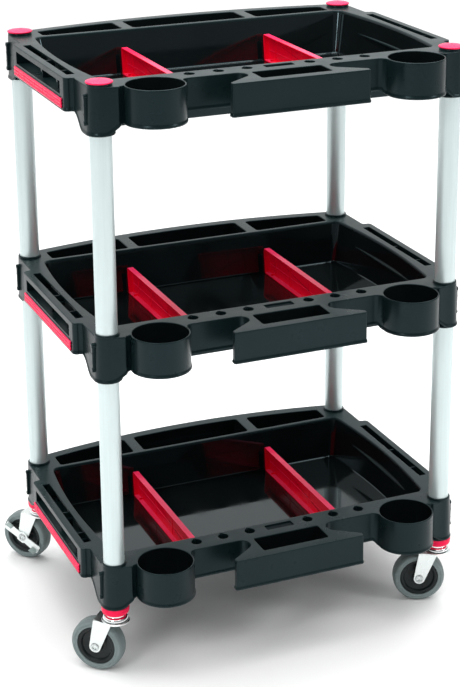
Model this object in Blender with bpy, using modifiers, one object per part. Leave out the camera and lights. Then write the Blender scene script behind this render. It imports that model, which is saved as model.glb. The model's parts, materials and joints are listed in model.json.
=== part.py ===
"""Rolling utility cart: three moulded trays on four tube legs, lift-out dividers and swivel casters.

Run it with: blender --background --python part.py
The driving dimensions below are millimetres; the model itself is in metres with +Z up. X runs across
the cart, -Y is the side with the cup holders, and the origin is on the floor, under the middle of the
whole cart with its casters trailing.
"""
import math

import bmesh
import bpy
from mathutils import Matrix, Vector

MM = 0.001
GAP = 0.3  # air left between pieces that touch
POST_SIDES = 14
PIN_SIDES = 12
TURNED_SIDES = 14
TYRE_SIDES = 32  # a multiple of four, so that a corner meets the floor

# Frame
LEG_X = 330.0  # leg centres from the middle, across and front to back
LEG_Y = 230.0
TRAY_PITCH = 438.0
BOTTOM_RIM_Z = 217.0
TRAY_LEVELS = {"bottom": 0, "middle": 1, "top": 2}
CORNERS = {
    "front_left": (-1, -1),
    "front_right": (1, -1),
    "rear_left": (-1, 1),
    "rear_right": (1, 1),
}
SIDES = {"left": -1, "right": 1}

# Tray: heights are measured down from its rim
WALL = 4.0
SKIRT_DEPTH = 58.0
POST_DEPTH = 83.0
POST_RADIUS = 24.0
POST_FOOT_RADIUS = 26.0
COLLAR_RISE = 4.0
SIDE_X = 354.0  # outer face of the side wall beside a leg
BULGE_X = 370.0
BULGE_Y = (-152.0, 140.0)
BULGE_ROUND = 10.0
FRONT_Y = -244.0
REAR_BOW_RADIUS = 1490.0

WELL_DEPTH = 82.0
WELL_DRAFT = 14.0
WELL_X = 316.0
WELL_BOW = 12.0
WELL_Y = (-196.0, 189.0)
WELL_ROUND = 16.0

CUP_X = 243.0
CUP_Y = -260.0
CUP_RADIUS = 50.0
CUP_WALL = 4.0
CUP_DEPTH = 53.0
CUP_SKIRT_DEPTH = 65.0
CUP_FILLET = 12.0

POCKET_FRONT_Y = 198.0
POCKET_RIM = 23.0
POCKET_DEPTH = 48.0
POCKET_WALL = 3.0
POCKET_SPANS = ((-294.0, -138.0), (-116.0, 116.0), (138.0, 294.0))

BLOCK_FRONT_Y = -317.0
BLOCK_HALF = 129.0
WING_BACK_Y = -304.0
NOTCH_X = 95.0
NOTCH_RADIUS = 15.5
TOOL_POCKET_HALF = 65.0
TOOL_POCKET_Y = (-295.0, -246.0)
TOOL_POCKET_DEPTH = 45.0

TOOL_HOLE_XS = (59.0, 112.0, 165.0)
TOOL_HOLE_Y = -215.0
TOOL_HOLE_RADIUS = 9.5
TOOL_SLOT_HALF = 27.0
TOOL_SLOT_Y = (-225.0, -208.0)

SIDE_SLOT_X = (341.0, 355.0)
SIDE_SLOT_Y = (-135.0, 125.0)
WINDOW_Z = (-32.0, -10.0)
CHANNEL_WALL = 3.0  # the floor and ends of the channel behind the grip window
STRIP_Y = (-146.0, 134.0)
STRIP_Z = (-55.0, -37.5)
STRIP_SEAT_X = 368.8
STRIP_FACE_X = 371.5

CLIP_SIZE = (7.0, 9.0, 54.0)
CLIP_TOP = -13.0

# Legs
TUBE_RADIUS = 19.0
TUBE_WALL = 1.5
SOCKET_DEPTH = 36.0
TUBE_SEAT = 34.0

CAP_RADIUS = 23.3
CAP_HEIGHT = 5.5
CAP_PLUG_DEPTH = 14.0

# Dividers
DIVIDER_X = 146.0
DIVIDER_WIDTH = 12.0
DIVIDER_TOP = -30.0
DIVIDER_FLANGE = 3.0
DIVIDER_WEB = 2.5
DIVIDER_TOP_Y = (-186.0, 170.0)
DIVIDER_FOOT_Y = (-178.5, 164.0)
RAIL_THICKNESS = 2.8
RAIL_TOP = -45.0
RAIL_REACH = 14.0

# Casters: heights are measured up from the floor, and x runs from the swivel axis to the axle
TRAIL = 35.0
WHEEL_RADIUS = 50.0
TYRE_HALF = 15.0
TYRE_INNER_RADIUS = 37.0
SHOULDER = 5.0
HUB_HALF = 13.0
AXLE_RADIUS = 5.0
FORK_INNER = 16.5
FORK_OUTER = 19.0
FORK_TOP = 105.5
FORK_PLATE = 3.0
FORK_NOSE_RADIUS = 26.0
FORK_EYE_RADIUS = 11.0
STEM_RADIUS = 5.5
STEM_TOP = 160.0
RACE_TOP = 118.6
COLLAR_BOTTOM = 119.0
COLLAR_RADIUS = 25.5
COLLAR_PLUG_TOP = 164.0
TRAIL_DIRECTIONS = {
    "front_left": (-0.74, 0.67),
    "front_right": (-0.93, 0.36),
    "rear_left": (-0.67, 0.74),
    "rear_right": (-0.80, 0.60),
}

# Wheel brakes
PEDAL_ANGLE = 30.5
PEDAL_HALF = 44.0
PEDAL_THICKNESS = 2.0
PEDAL_EYE_RADIUS = 12.5
PEDAL_END_HALF = 9.0
PEDAL_TREAD = 10.0
SHOE_ANGLE = 118.0
SHOE_GAP = 1.5
SHOE_SIZE = (3.2, 22.0, 14.0)  # thickness, width across the wheel, length along it


# Scene and materials

def clear_scene():
    for item in list(bpy.data.objects):
        bpy.data.objects.remove(item, do_unlink=True)


def make_collection(name):
    collection = bpy.data.collections.new(name)
    bpy.context.scene.collection.children.link(collection)
    return collection


def make_material(name, colour, roughness, metallic=0.0):
    material = bpy.data.materials.new(name)
    material.use_nodes = True
    shader = material.node_tree.nodes["Principled BSDF"]
    shader.inputs["Base Color"].default_value = (*colour, 1.0)
    shader.inputs["Roughness"].default_value = roughness
    shader.inputs["Metallic"].default_value = metallic
    material.diffuse_color = (*colour, 1.0)
    return material


# Mesh helpers

def evaluated_mesh(source):
    """The mesh of an object with its modifiers: welded, and with each open rim closed by one face."""
    bpy.context.view_layer.update()
    graph = bpy.context.evaluated_depsgraph_get()
    mesh = bpy.data.meshes.new_from_object(source.evaluated_get(graph))
    shape = bmesh.new()
    shape.from_mesh(mesh)
    bmesh.ops.remove_doubles(shape, verts=shape.verts, dist=1e-6)
    rims = [edge for edge in shape.edges if edge.is_boundary]
    if rims:
        bmesh.ops.holes_fill(shape, edges=rims)
        bmesh.ops.recalc_face_normals(shape, faces=shape.faces)
    shape.to_mesh(mesh)
    shape.free()
    return mesh


def add_object(name, mesh, collection, material=None, parent=None):
    item = bpy.data.objects.new(name, mesh)
    collection.objects.link(item)
    if material:
        mesh.materials.clear()
        mesh.materials.append(material)
    item.parent = parent
    return item


def prism(outline, low, high, axes="XY"):
    """A straight extrusion of a closed outline in mm, standing on the plane that axes names."""
    curve = bpy.data.curves.new("outline", "CURVE")
    curve.dimensions = "2D"
    curve.fill_mode = "NONE"
    curve.extrude = (high - low) / 2 * MM
    spline = curve.splines.new("POLY")
    spline.points.add(len(outline) - 1)
    for point, (u, v) in zip(spline.points, outline):
        point.co = (u * MM, v * MM, 0.0, 1.0)
    spline.use_cyclic_u = True
    holder = bpy.data.objects.new("outline", curve)
    bpy.context.scene.collection.objects.link(holder)
    mesh = evaluated_mesh(holder)
    bpy.data.objects.remove(holder)
    bpy.data.curves.remove(curve)
    mesh.transform(Matrix.Translation((0.0, 0.0, (low + high) / 2 * MM)))
    turns = {
        "XY": Matrix.Identity(4),
        "YZ": Matrix(((0, 0, 1, 0), (1, 0, 0, 0), (0, 1, 0, 0), (0, 0, 0, 1))),
        "XZ": Matrix(((1, 0, 0, 0), (0, 0, -1, 0), (0, 1, 0, 0), (0, 0, 0, 1))),
    }
    mesh.transform(turns[axes])
    return mesh


def box(low, high):
    """A block between two opposite corners in mm."""
    shape = bmesh.new()
    bmesh.ops.create_cube(shape, size=1.0)
    low, high = Vector(low) * MM, Vector(high) * MM
    bmesh.ops.scale(shape, vec=high - low, verts=shape.verts)
    bmesh.ops.translate(shape, vec=(low + high) / 2, verts=shape.verts)
    return finished_mesh(shape)


def clear_radius(radius, segments):
    """The corner radius of a faceted hole whose flats keep clear of a round pin."""
    return (radius + GAP) / math.cos(math.pi / segments)


def cone(centre, foot_radius, top_radius, low, high, segments=POST_SIDES):
    """An upright round block in mm: a cylinder when both radii are the same."""
    shape = bmesh.new()
    bmesh.ops.create_cone(shape, cap_ends=True, segments=segments, radius1=foot_radius * MM,
                          radius2=top_radius * MM, depth=(high - low) * MM)
    place = Vector((centre[0], centre[1], (low + high) / 2)) * MM
    bmesh.ops.translate(shape, vec=place, verts=shape.verts)
    return finished_mesh(shape)


def loft(rings):
    """A solid through rings of equal point counts, listed from the top down, in mm."""
    shape = bmesh.new()
    loops = [[shape.verts.new(Vector(point) * MM) for point in ring] for ring in rings]
    for upper, lower in zip(loops, loops[1:]):
        for index in range(len(upper)):
            after = (index + 1) % len(upper)
            shape.faces.new((upper[index], lower[index], lower[after], upper[after]))
    shape.faces.new(loops[0])
    shape.faces.new(reversed(loops[-1]))
    return finished_mesh(shape)


def finished_mesh(shape):
    bmesh.ops.recalc_face_normals(shape, faces=shape.faces)
    mesh = bpy.data.meshes.new("solid")
    shape.to_mesh(mesh)
    shape.free()
    return mesh


def merged(meshes):
    """Several separate solids in one mesh, for use as one Boolean tool."""
    shape = bmesh.new()
    for mesh in meshes:
        shape.from_mesh(mesh)
    return finished_mesh(shape)


def mirrored_mesh(mesh, flip_x=False, flip_y=False):
    twin = mesh.copy()
    twin.transform(Matrix.Diagonal((-1 if flip_x else 1, -1 if flip_y else 1, 1, 1)))
    if flip_x != flip_y:
        twin.flip_normals()
    return twin


def combine(base, steps, cutters):
    """The base mesh after a list of (operation, tool mesh) Booleans."""
    body = add_object("blank", base, cutters)
    for number, (operation, mesh) in enumerate(steps):
        tool = add_object(f"tool_{number}", mesh, cutters)
        tool.hide_render = True
        tool.display_type = "WIRE"
        modifier = body.modifiers.new(tool.name, "BOOLEAN")
        modifier.operation = operation
        modifier.solver = "EXACT"
        modifier.object = tool
    result = evaluated_mesh(body)
    for item in list(cutters.objects):
        bpy.data.objects.remove(item)
    return result


def smooth(mesh, angle=35.0):
    mesh.shade_smooth()
    mesh.set_sharp_from_angle(angle=math.radians(angle))


def turned(name, profile, collection, material, parent, steps=TURNED_SIDES):
    """A turned piece about its own Z. The profile of (radius, height) runs down its outer side."""
    mesh = bpy.data.meshes.new(name)
    closed = profile[0][0] > 0.0
    points = [(radius * MM, 0.0, height * MM) for radius, height in profile]
    edges = [(index, index + 1) for index in range(len(points) - 1)]
    if closed:
        edges.append((len(points) - 1, 0))
    mesh.from_pydata(points, edges, [])
    item = add_object(name, mesh, collection, material, parent)
    screw = item.modifiers.new("turn", "SCREW")
    screw.angle = 2 * math.pi
    screw.steps = steps
    screw.render_steps = steps
    screw.use_merge_vertices = True
    screw.merge_threshold = 1e-5
    screw.use_smooth_shade = True
    return item


# Outlines, all counter-clockwise in mm

def arc(centre, radius, start, end, steps):
    """Points on a circle from one angle to another, in degrees; it runs clockwise if end < start."""
    points = []
    for step in range(steps + 1):
        angle = math.radians(start + (end - start) * step / steps)
        points.append((centre[0] + radius * math.cos(angle), centre[1] + radius * math.sin(angle)))
    return points


def symmetric(right_half):
    """Closes an outline that is given from the front middle round the right side to the rear middle."""
    left_half = [(-x, y) for x, y in reversed(right_half) if x > 0.0]
    return right_half + left_half


def bow_angle():
    """The turn from straight back to where the rear bow leaves a corner post."""
    return math.degrees(math.asin(LEG_X / (REAR_BOW_RADIUS - POST_RADIUS)))


def bow_y(x, inset=0.0):
    """The rear rim's outer edge, or a line inside it, at a place across the cart."""
    turn = math.radians(bow_angle())
    centre_y = LEG_Y - (REAR_BOW_RADIUS - POST_RADIUS) * math.cos(turn)
    return centre_y + math.sqrt((REAR_BOW_RADIUS - inset) ** 2 - x * x)


def cup_fillet():
    """Where the fillet between the front wall and a cup has its centre, and the angle at which it ends."""
    y = FRONT_Y - CUP_FILLET
    x = CUP_X - math.sqrt((CUP_RADIUS + CUP_WALL + CUP_FILLET) ** 2 - (y - CUP_Y) ** 2)
    return x, y, math.degrees(math.atan2(CUP_Y - y, CUP_X - x))


def tray_outline(inset=0.0):
    """The tray's plan, or the same plan moved inwards by a wall's thickness."""
    block = arc((BLOCK_HALF - 4, BLOCK_FRONT_Y + 4), max(4 - inset, 0.5), -90, 0, 3)
    block.append((BLOCK_HALF - inset, WING_BACK_Y - inset))
    notch = arc((NOTCH_X, FRONT_Y - NOTCH_RADIUS), NOTCH_RADIUS + inset, -90, -270, 5)
    fillet_x, fillet_y, meeting = cup_fillet()
    fillet = arc((fillet_x, fillet_y), CUP_FILLET + inset, 90, meeting, 3)
    cup = arc((CUP_X, CUP_Y), CUP_RADIUS + CUP_WALL - inset, meeting - 180, 12, 9)
    bump = arc((306.5, -252.0), 6.0 - inset, 190, 280, 3) if inset < 6.0 else []
    front_post = arc((LEG_X, -LEG_Y), POST_RADIUS - inset, -90, 0, 3)
    side = [(SIDE_X - inset, BULGE_Y[0] - 12.0)]
    bulge = arc((BULGE_X - BULGE_ROUND, BULGE_Y[0]), BULGE_ROUND - inset, -110, 0, 3)
    bulge += arc((BULGE_X - BULGE_ROUND, BULGE_Y[1]), BULGE_ROUND - inset, 0, 110, 3)
    side_end = [(SIDE_X - inset, BULGE_Y[1] + 12.0)]
    rear_post = arc((LEG_X, LEG_Y), POST_RADIUS - inset, 0, 90 - bow_angle(), 3)
    bow = [(x, bow_y(x, inset)) for x in (264.0, 198.0, 132.0, 66.0, 0.0)]
    return symmetric(block + notch + fillet + cup + bump + front_post + side + bulge + side_end
                     + rear_post + bow)


def well_ring(inset, height):
    """One level of the well: bowed sides and round corners, moved inwards by its draft."""
    half = WELL_X - inset
    front, rear = WELL_Y[0] + inset, WELL_Y[1] - inset
    corner = max(WELL_ROUND - 0.3 * inset, 6.0)
    middle = (front + rear) / 2
    straight = (rear - front) / 2 - corner
    right = arc((half - corner, front + corner), corner, -90, 0, 4)
    for step in range(1, 8):
        share = -1 + step / 4
        right.append((half + WELL_BOW * (1 - share * share), middle + share * straight))
    right += arc((half - corner, rear - corner), corner, 0, 90, 4)
    left = [(-x, y) for x, y in reversed(right)]
    return [(x, y, height) for x, y in right + left]


# Tray

def pocket_outline(span, grow=0.0):
    """A rear pocket: straight sides and front, with the rear edge following the bow."""
    left, right = span[0] - grow, span[1] + grow
    rear = [(right + (left - right) * step / 4) for step in range(5)]
    outline = [(left, POCKET_FRONT_Y - grow), (right, POCKET_FRONT_Y - grow)]
    return outline + [(x, bow_y(x, POCKET_RIM) + grow) for x in rear]


def tool_pocket(grow, low, high):
    front, rear = TOOL_POCKET_Y
    return box((-TOOL_POCKET_HALF - grow, front - grow, low),
               (TOOL_POCKET_HALF + grow, rear + grow, high))


def corner_set(build):
    """The same tool at all four legs, from one that is built for the front right leg."""
    mesh = build()
    return [mirrored_mesh(mesh, sx < 0, sy > 0) for sx, sy in CORNERS.values()]


def tray_posts():
    def post():
        return cone((LEG_X, -LEG_Y), POST_FOOT_RADIUS, POST_RADIUS + 0.4, -POST_DEPTH, -1.0)
    return merged(corner_set(post))


def tray_collars():
    def collar():
        return cone((LEG_X, -LEG_Y), POST_RADIUS - 0.5, POST_RADIUS - 2.5, -3.0, COLLAR_RISE)
    return merged(corner_set(collar))


def tray_bores():
    radius = clear_radius(TUBE_RADIUS, POST_SIDES)

    def upper():
        return cone((LEG_X, -LEG_Y), radius, radius, -SOCKET_DEPTH, COLLAR_RISE + 2)

    def lower():
        return cone((LEG_X, -LEG_Y), radius, radius, -POST_DEPTH - 2, SOCKET_DEPTH - POST_DEPTH)
    return merged(corner_set(upper) + corner_set(lower))


def tray_gussets():
    """Webs under the skirt that run down to the foot of each post, along the side and the front."""
    low = 0.5 - POST_DEPTH
    along_side = [(-LEG_Y, -40.0), (-LEG_Y, low), (-213.0, low), (-201.0, -79.0), (-177.0, -62.0),
                  (-163.0, 0.5 - SKIRT_DEPTH), (-163.0, -40.0)]
    along_front = [(LEG_X, -50.0), (299.0, -50.0), (299.0, -66.0), (308.0, -68.5), (316.0, -73.0),
                   (323.0, -79.5), (LEG_X, low)]

    def side_web():
        return prism(along_side, SIDE_X - WALL + 0.6, SIDE_X - 0.4, "YZ")

    def front_web():
        # the XZ plane's prism runs towards -Y
        return prism(along_front, LEG_Y + POST_RADIUS - WALL + 0.6, LEG_Y + POST_RADIUS - 0.4, "XZ")

    side_webs = corner_set(side_web)
    front_webs = [mirrored_mesh(front_web(), flip_x=sx < 0) for sx in SIDES.values()]
    return merged(side_webs), merged(front_webs)


def cup_skirts():
    """The round skirt of each cup, which hangs lower than the front wall."""
    meeting = cup_fillet()[2]
    radius = CUP_RADIUS + CUP_WALL - GAP
    outline = arc((CUP_X, CUP_Y), radius, meeting - 180, 12, 9)
    outline += arc((CUP_X, CUP_Y), radius, 12, meeting + 180, 8)[1:-1]
    right = prism(outline, -CUP_SKIRT_DEPTH, 1 - SKIRT_DEPTH)
    return merged([right, mirrored_mesh(right, flip_x=True)])


def grip_channels():
    """The floor and the two ends of the finger channel between each grip window and the well."""
    inner, outer = WELL_X + 1, BULGE_X - 3
    front, rear = SIDE_SLOT_Y[0] - 1, SIDE_SLOT_Y[1] + 1
    low, high = WINDOW_Z[0] - 1 - CHANNEL_WALL, 1 - WALL
    right = merged([box((inner, front - CHANNEL_WALL, low), (outer, front, high)),
                    box((inner, rear, low), (outer, rear + CHANNEL_WALL, high))])
    floor = box((inner, front - 1, low + 0.5), (outer, rear + 1, low + CHANNEL_WALL))
    return [right, floor, mirrored_mesh(right, flip_x=True), mirrored_mesh(floor, flip_x=True)]


def tray_clips():
    depth, width, height = CLIP_SIZE

    def clip():
        return box((SIDE_X - 2.0, -LEG_Y - 3.0, CLIP_TOP - height),
                   (SIDE_X - 2.0 + depth, -LEG_Y - 3.0 + width, CLIP_TOP))
    return merged(corner_set(clip))


def divider_rails():
    """Pairs of ribs on the well's front and rear walls that hold each divider upright."""
    drop = (WELL_DEPTH + RAIL_TOP) * WELL_DRAFT / WELL_DEPTH
    rails = []
    for wall_y, sign in ((WELL_Y[0] + WELL_DRAFT, -1), (WELL_Y[1] - WELL_DRAFT, 1)):
        foot, top = wall_y + sign * 2.0, wall_y + sign * (2.0 + drop)
        outline = [(foot, -WELL_DEPTH - 1), (top, RAIL_TOP),
                   (top - sign * RAIL_REACH, RAIL_TOP), (foot - sign * RAIL_REACH, -WELL_DEPTH - 1)]
        for side in SIDES.values():
            for edge in (-1, 1):
                inner = side * DIVIDER_X + edge * (DIVIDER_WIDTH / 2 + 2 * GAP)
                outer = inner + edge * RAIL_THICKNESS
                rails.append(prism(outline, min(inner, outer), max(inner, outer), "YZ"))
    return merged(rails)


def underside_cavity(cutters):
    """The open space under the ledges: the plan inside the walls, less every hollow's own shell."""
    blank = prism(tray_outline(WALL), -POST_DEPTH - 10, -WALL)
    shell = WALL * 0.9
    well = loft([well_ring(-shell, 2.0), well_ring(WELL_DRAFT - shell, -WELL_DEPTH - 20)])
    cups = [cone((side * CUP_X, CUP_Y), CUP_RADIUS + 3.4, CUP_RADIUS + 3.4, -CUP_DEPTH - 3, -2.0, 20)
            for side in SIDES.values()]
    pockets = [prism(pocket_outline(span, POCKET_WALL), -POCKET_DEPTH - POCKET_WALL, -2.0)
               for span in POCKET_SPANS]
    posts = corner_set(lambda: cone((LEG_X, -LEG_Y), POST_RADIUS + 1, POST_RADIUS + 1,
                                    -POST_DEPTH - 12, -2.0))
    block = tool_pocket(POCKET_WALL, -TOOL_POCKET_DEPTH - POCKET_WALL, -2.0)
    keep = [well, merged(cups), merged(pockets), merged(posts), block]
    return combine(blank, [("DIFFERENCE", mesh) for mesh in keep], cutters)


def tray_openings():
    """Everything that is cut down through the tray's top."""
    holes = [cone((side * x, TOOL_HOLE_Y), TOOL_HOLE_RADIUS, TOOL_HOLE_RADIUS, -WALL - 2, 2, 8)
             for side in SIDES.values() for x in TOOL_HOLE_XS]
    holes.append(box((-TOOL_SLOT_HALF, TOOL_SLOT_Y[0], -WALL - 2),
                     (TOOL_SLOT_HALF, TOOL_SLOT_Y[1], 2)))
    slot = box((SIDE_SLOT_X[0], SIDE_SLOT_Y[0], -WALL - 2), (SIDE_SLOT_X[1], SIDE_SLOT_Y[1], 2))
    holes += [slot, mirrored_mesh(slot, flip_x=True)]
    pockets = [prism(pocket_outline(span), -POCKET_DEPTH, 2) for span in POCKET_SPANS]
    pockets.append(tool_pocket(0.0, -TOOL_POCKET_DEPTH, 2))
    cups = [cone((side * CUP_X, CUP_Y), CUP_RADIUS - 1.0, CUP_RADIUS, -CUP_DEPTH, 2, 20)
            for side in SIDES.values()]
    return merged(holes + pockets + cups)


def side_openings():
    """The grip window in each side and the shallow seat of its colour strip."""
    window = box((BULGE_X - WALL - 3, SIDE_SLOT_Y[0], WINDOW_Z[0]),
                 (BULGE_X + 2, SIDE_SLOT_Y[1], WINDOW_Z[1]))
    seat = box((STRIP_SEAT_X, STRIP_Y[0] - GAP, STRIP_Z[0] - GAP),
               (BULGE_X + 3, STRIP_Y[1] + GAP, STRIP_Z[1] + GAP))
    right = merged([window, seat])
    return merged([right, mirrored_mesh(right, flip_x=True)])


def tray_mesh(cutters):
    cavity = underside_cavity(cutters)
    plan = prism(tray_outline(), -SKIRT_DEPTH, 0.0)
    slope = WELL_DRAFT / WELL_DEPTH
    bottom = -WELL_DEPTH - WALL
    well_block = loft([well_ring(-WALL + slope, -1.0),
                       well_ring(-WALL - slope * bottom, bottom)])
    well = loft([well_ring(-2 * slope, 2.0), well_ring(WELL_DRAFT - 3 * slope, 3 - WELL_DEPTH),
                 well_ring(WELL_DRAFT + 2.0, -WELL_DEPTH)])
    side_webs, front_webs = tray_gussets()
    steps = [
        ("UNION", tray_posts()),
        ("UNION", well_block),
        ("UNION", cup_skirts()),
        ("DIFFERENCE", cavity),
        ("UNION", side_webs),
        ("UNION", front_webs),
        *[("UNION", mesh) for mesh in grip_channels()],
        ("UNION", tray_clips()),
        ("UNION", tray_collars()),
        ("DIFFERENCE", well),
        ("UNION", divider_rails()),
        ("DIFFERENCE", tray_openings()),
        ("DIFFERENCE", side_openings()),
        ("DIFFERENCE", tray_bores()),
    ]
    mesh = combine(plan, steps, cutters)
    smooth(mesh)
    return mesh


# Pieces that sit in the trays

def divider_mesh(cutters):
    """A moulded channel: a thin web with a flange all round it."""
    top, foot = DIVIDER_TOP, GAP - WELL_DEPTH
    sheet = [(DIVIDER_FOOT_Y[0], foot), (DIVIDER_FOOT_Y[1], foot),
             (DIVIDER_TOP_Y[1], top - 5.0), (DIVIDER_TOP_Y[1] - 2.0, top), (DIVIDER_TOP_Y[0], top)]
    edge = DIVIDER_FLANGE
    hollow = [(DIVIDER_FOOT_Y[0] + edge, foot + edge), (DIVIDER_FOOT_Y[1] - edge, foot + edge),
              (DIVIDER_TOP_Y[1] - edge, top - edge), (DIVIDER_TOP_Y[0] + edge, top - edge)]
    half = DIVIDER_WIDTH / 2
    blank = prism(sheet, -half, half, "YZ")
    recess = prism(hollow, -half - 2, half - DIVIDER_WEB, "YZ")
    return combine(blank, [("DIFFERENCE", recess)], cutters)


def strip_mesh():
    """A colour strip with two long grooves, for the right-hand side."""
    low, high = STRIP_Z
    seat, face = STRIP_SEAT_X + GAP, STRIP_FACE_X
    third = (high - low) / 3
    profile = [(seat, low), (face - 0.6, low), (face, low + 1.5)]
    for number in (1, 2):
        groove = low + number * third
        profile += [(face, groove - 1.6), (face - 0.9, groove - 0.8),
                    (face - 0.9, groove + 0.8), (face, groove + 1.6)]
    profile += [(face, high - 1.5), (face - 0.6, high), (seat, high)]
    return prism(profile, -STRIP_Y[1], -STRIP_Y[0], "XZ")


# Casters

def fork_mesh(cutters):
    """A stamped fork: a nosed top plate with two legs that taper to round eyes."""
    turn = math.degrees(math.acos((FORK_NOSE_RADIUS - FORK_OUTER) / (TRAIL + 4)))
    nose = arc((0.0, 0.0), FORK_NOSE_RADIUS, turn, 360 - turn, 10)
    plan = nose + [(TRAIL + 3, -FORK_OUTER), (TRAIL + 3, FORK_OUTER)]
    under = FORK_TOP - FORK_PLATE
    plate = prism(plan, under, FORK_TOP)
    eye = arc((TRAIL, WHEEL_RADIUS), FORK_EYE_RADIUS, -150, 10, 6)
    side = eye + [(TRAIL + 2, under + 1), (0.0, under + 1)]
    thickness = FORK_OUTER - FORK_INNER
    legs = merged([prism(side, FORK_INNER, FORK_INNER + thickness - 0.1, "XZ"),
                   prism(side, -FORK_INNER - thickness + 0.1, -FORK_INNER, "XZ")])
    eye_radius = clear_radius(AXLE_RADIUS, PIN_SIDES)
    axle_hole = cone((0, 0), eye_radius, eye_radius, -40, 40, PIN_SIDES)
    axle_hole.transform(Matrix.Translation((TRAIL * MM, 0, WHEEL_RADIUS * MM))
                        @ Matrix.Rotation(math.pi / 2, 4, "X"))
    pin_radius = clear_radius(STEM_RADIUS, PIN_SIDES)
    stem_hole = cone((0, 0), pin_radius, pin_radius, under - 3, FORK_TOP + 3, PIN_SIDES)
    steps = [("UNION", legs), ("DIFFERENCE", merged([axle_hole, stem_hole]))]
    mesh = combine(plate, steps, cutters)
    smooth(mesh)
    return mesh


def pedal_mesh(cutters):
    """A stamped rocker about the axle, with a tread turned outwards at each end."""
    inner = FORK_OUTER + 2 * GAP
    outline = []
    for end in (1, -1):
        flip = 0 if end > 0 else 180
        outline += arc((0.0, 0.0), PEDAL_EYE_RADIUS, flip - 48, flip - 38, 1)
        outline += [(end * PEDAL_HALF, -end * PEDAL_END_HALF), (end * PEDAL_HALF, end * PEDAL_END_HALF)]
        outline += arc((0.0, 0.0), PEDAL_EYE_RADIUS, flip + 38, flip + 48, 1)
    plate = prism(outline, -inner - PEDAL_THICKNESS, -inner, "XZ")
    treads = []
    for end in (-1, 1):
        reach = sorted((end * (PEDAL_HALF - 3.0), end * (PEDAL_HALF - 17.0)))
        height = sorted((end * 6.8, end * 8.8))
        treads.append(box((reach[0], inner + 1.0, height[0]),
                          (reach[1], inner + PEDAL_THICKNESS + PEDAL_TREAD, height[1])))
    eye_radius = clear_radius(AXLE_RADIUS, PIN_SIDES)
    hole = cone((0, 0), eye_radius, eye_radius, -40, 40, PIN_SIDES)
    hole.transform(Matrix.Rotation(math.pi / 2, 4, "X"))
    mesh = combine(plate, [("UNION", merged(treads)), ("DIFFERENCE", hole)], cutters)
    smooth(mesh)
    return mesh


def tyre_profile():
    outer, half = WHEEL_RADIUS, TYRE_HALF
    upper = [(outer - SHOULDER + SHOULDER * math.cos(math.radians(a)),
              half - SHOULDER + SHOULDER * math.sin(math.radians(a))) for a in (90, 45, 0)]
    lower = [(radius, -height) for radius, height in reversed(upper)]
    return upper + lower + [(TYRE_INNER_RADIUS, -half + 0.5), (TYRE_INNER_RADIUS, half - 0.5)]


def hub_profile():
    rim, half = TYRE_INNER_RADIUS - GAP, HUB_HALF
    bore = clear_radius(AXLE_RADIUS, TURNED_SIDES)
    face = [(bore, half - 1), (11.0, half - 1), (13.0, half - 5), (28.0, half - 5), (31.0, half),
            (rim, half)]
    back = [(radius, -height) for radius, height in reversed(face)]
    return face + back


def add_caster(corner, parts, materials, cart, meshes):
    sx, sy = CORNERS[corner]
    swivel = bpy.data.objects.new(f"caster_{corner}", None)
    parts.objects.link(swivel)
    swivel.parent = cart
    swivel.location = (sx * LEG_X * MM, sy * LEG_Y * MM, 0.0)
    trail = TRAIL_DIRECTIONS[corner]
    swivel.rotation_euler.z = math.atan2(trail[1], trail[0])

    bore = clear_radius(STEM_RADIUS, TURNED_SIDES)
    plug_radius = TUBE_RADIUS - GAP
    post_foot = BOTTOM_RIM_Z - POST_DEPTH
    turned(f"caster_collar_{corner}",
           [(plug_radius, COLLAR_PLUG_TOP), (plug_radius, post_foot - GAP),
            (COLLAR_RADIUS, post_foot - GAP), (COLLAR_RADIUS, COLLAR_BOTTOM + 6),
            (COLLAR_RADIUS - 5, COLLAR_BOTTOM), (bore, COLLAR_BOTTOM), (bore, COLLAR_PLUG_TOP)],
           parts, materials["collar"], swivel)
    turned(f"caster_race_{corner}",
           [(17.0, RACE_TOP), (17.0, RACE_TOP - 4), (22.5, RACE_TOP - 7), (23.5, FORK_TOP + 3),
            (20.0, FORK_TOP + GAP), (bore, FORK_TOP + GAP), (bore, RACE_TOP)],
           parts, materials["chrome"], swivel)
    head = FORK_TOP - FORK_PLATE - GAP
    turned(f"caster_stem_{corner}",
           [(0.0, STEM_TOP), (STEM_RADIUS, STEM_TOP), (STEM_RADIUS, head), (9.0, head),
            (9.0, head - 3), (0.0, head - 3)], parts, materials["steel"], swivel, PIN_SIDES)
    add_object(f"caster_fork_{corner}", meshes["fork"], parts, materials["zinc"], swivel)

    reach = FORK_OUTER + (4.5 if sy > 0 else 2.0)
    axle_side = Matrix.Translation((TRAIL * MM, 0, WHEEL_RADIUS * MM)) @ Matrix.Rotation(
        -math.pi / 2, 4, "X")
    head_start = reach - 1.5
    wheel_pieces = [
        turned(f"caster_axle_{corner}",
               [(0.0, reach), (7.0, reach), (8.0, head_start + 0.2), (8.0, head_start),
                (AXLE_RADIUS, head_start), (AXLE_RADIUS, -FORK_OUTER - GAP),
                (8.0, -FORK_OUTER - GAP), (8.0, -FORK_OUTER - 1.5), (0.0, -FORK_OUTER - 2)],
               parts, materials["steel"], swivel, PIN_SIDES),
        turned(f"wheel_hub_{corner}", hub_profile(), parts, materials["hub"], swivel),
        turned(f"wheel_tyre_{corner}", tyre_profile(), parts, materials["tyre"], swivel, TYRE_SIDES),
    ]
    for piece in wheel_pieces:
        piece.matrix_local = axle_side
    if sy > 0:
        add_brake(corner, parts, materials, swivel, meshes)


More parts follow.
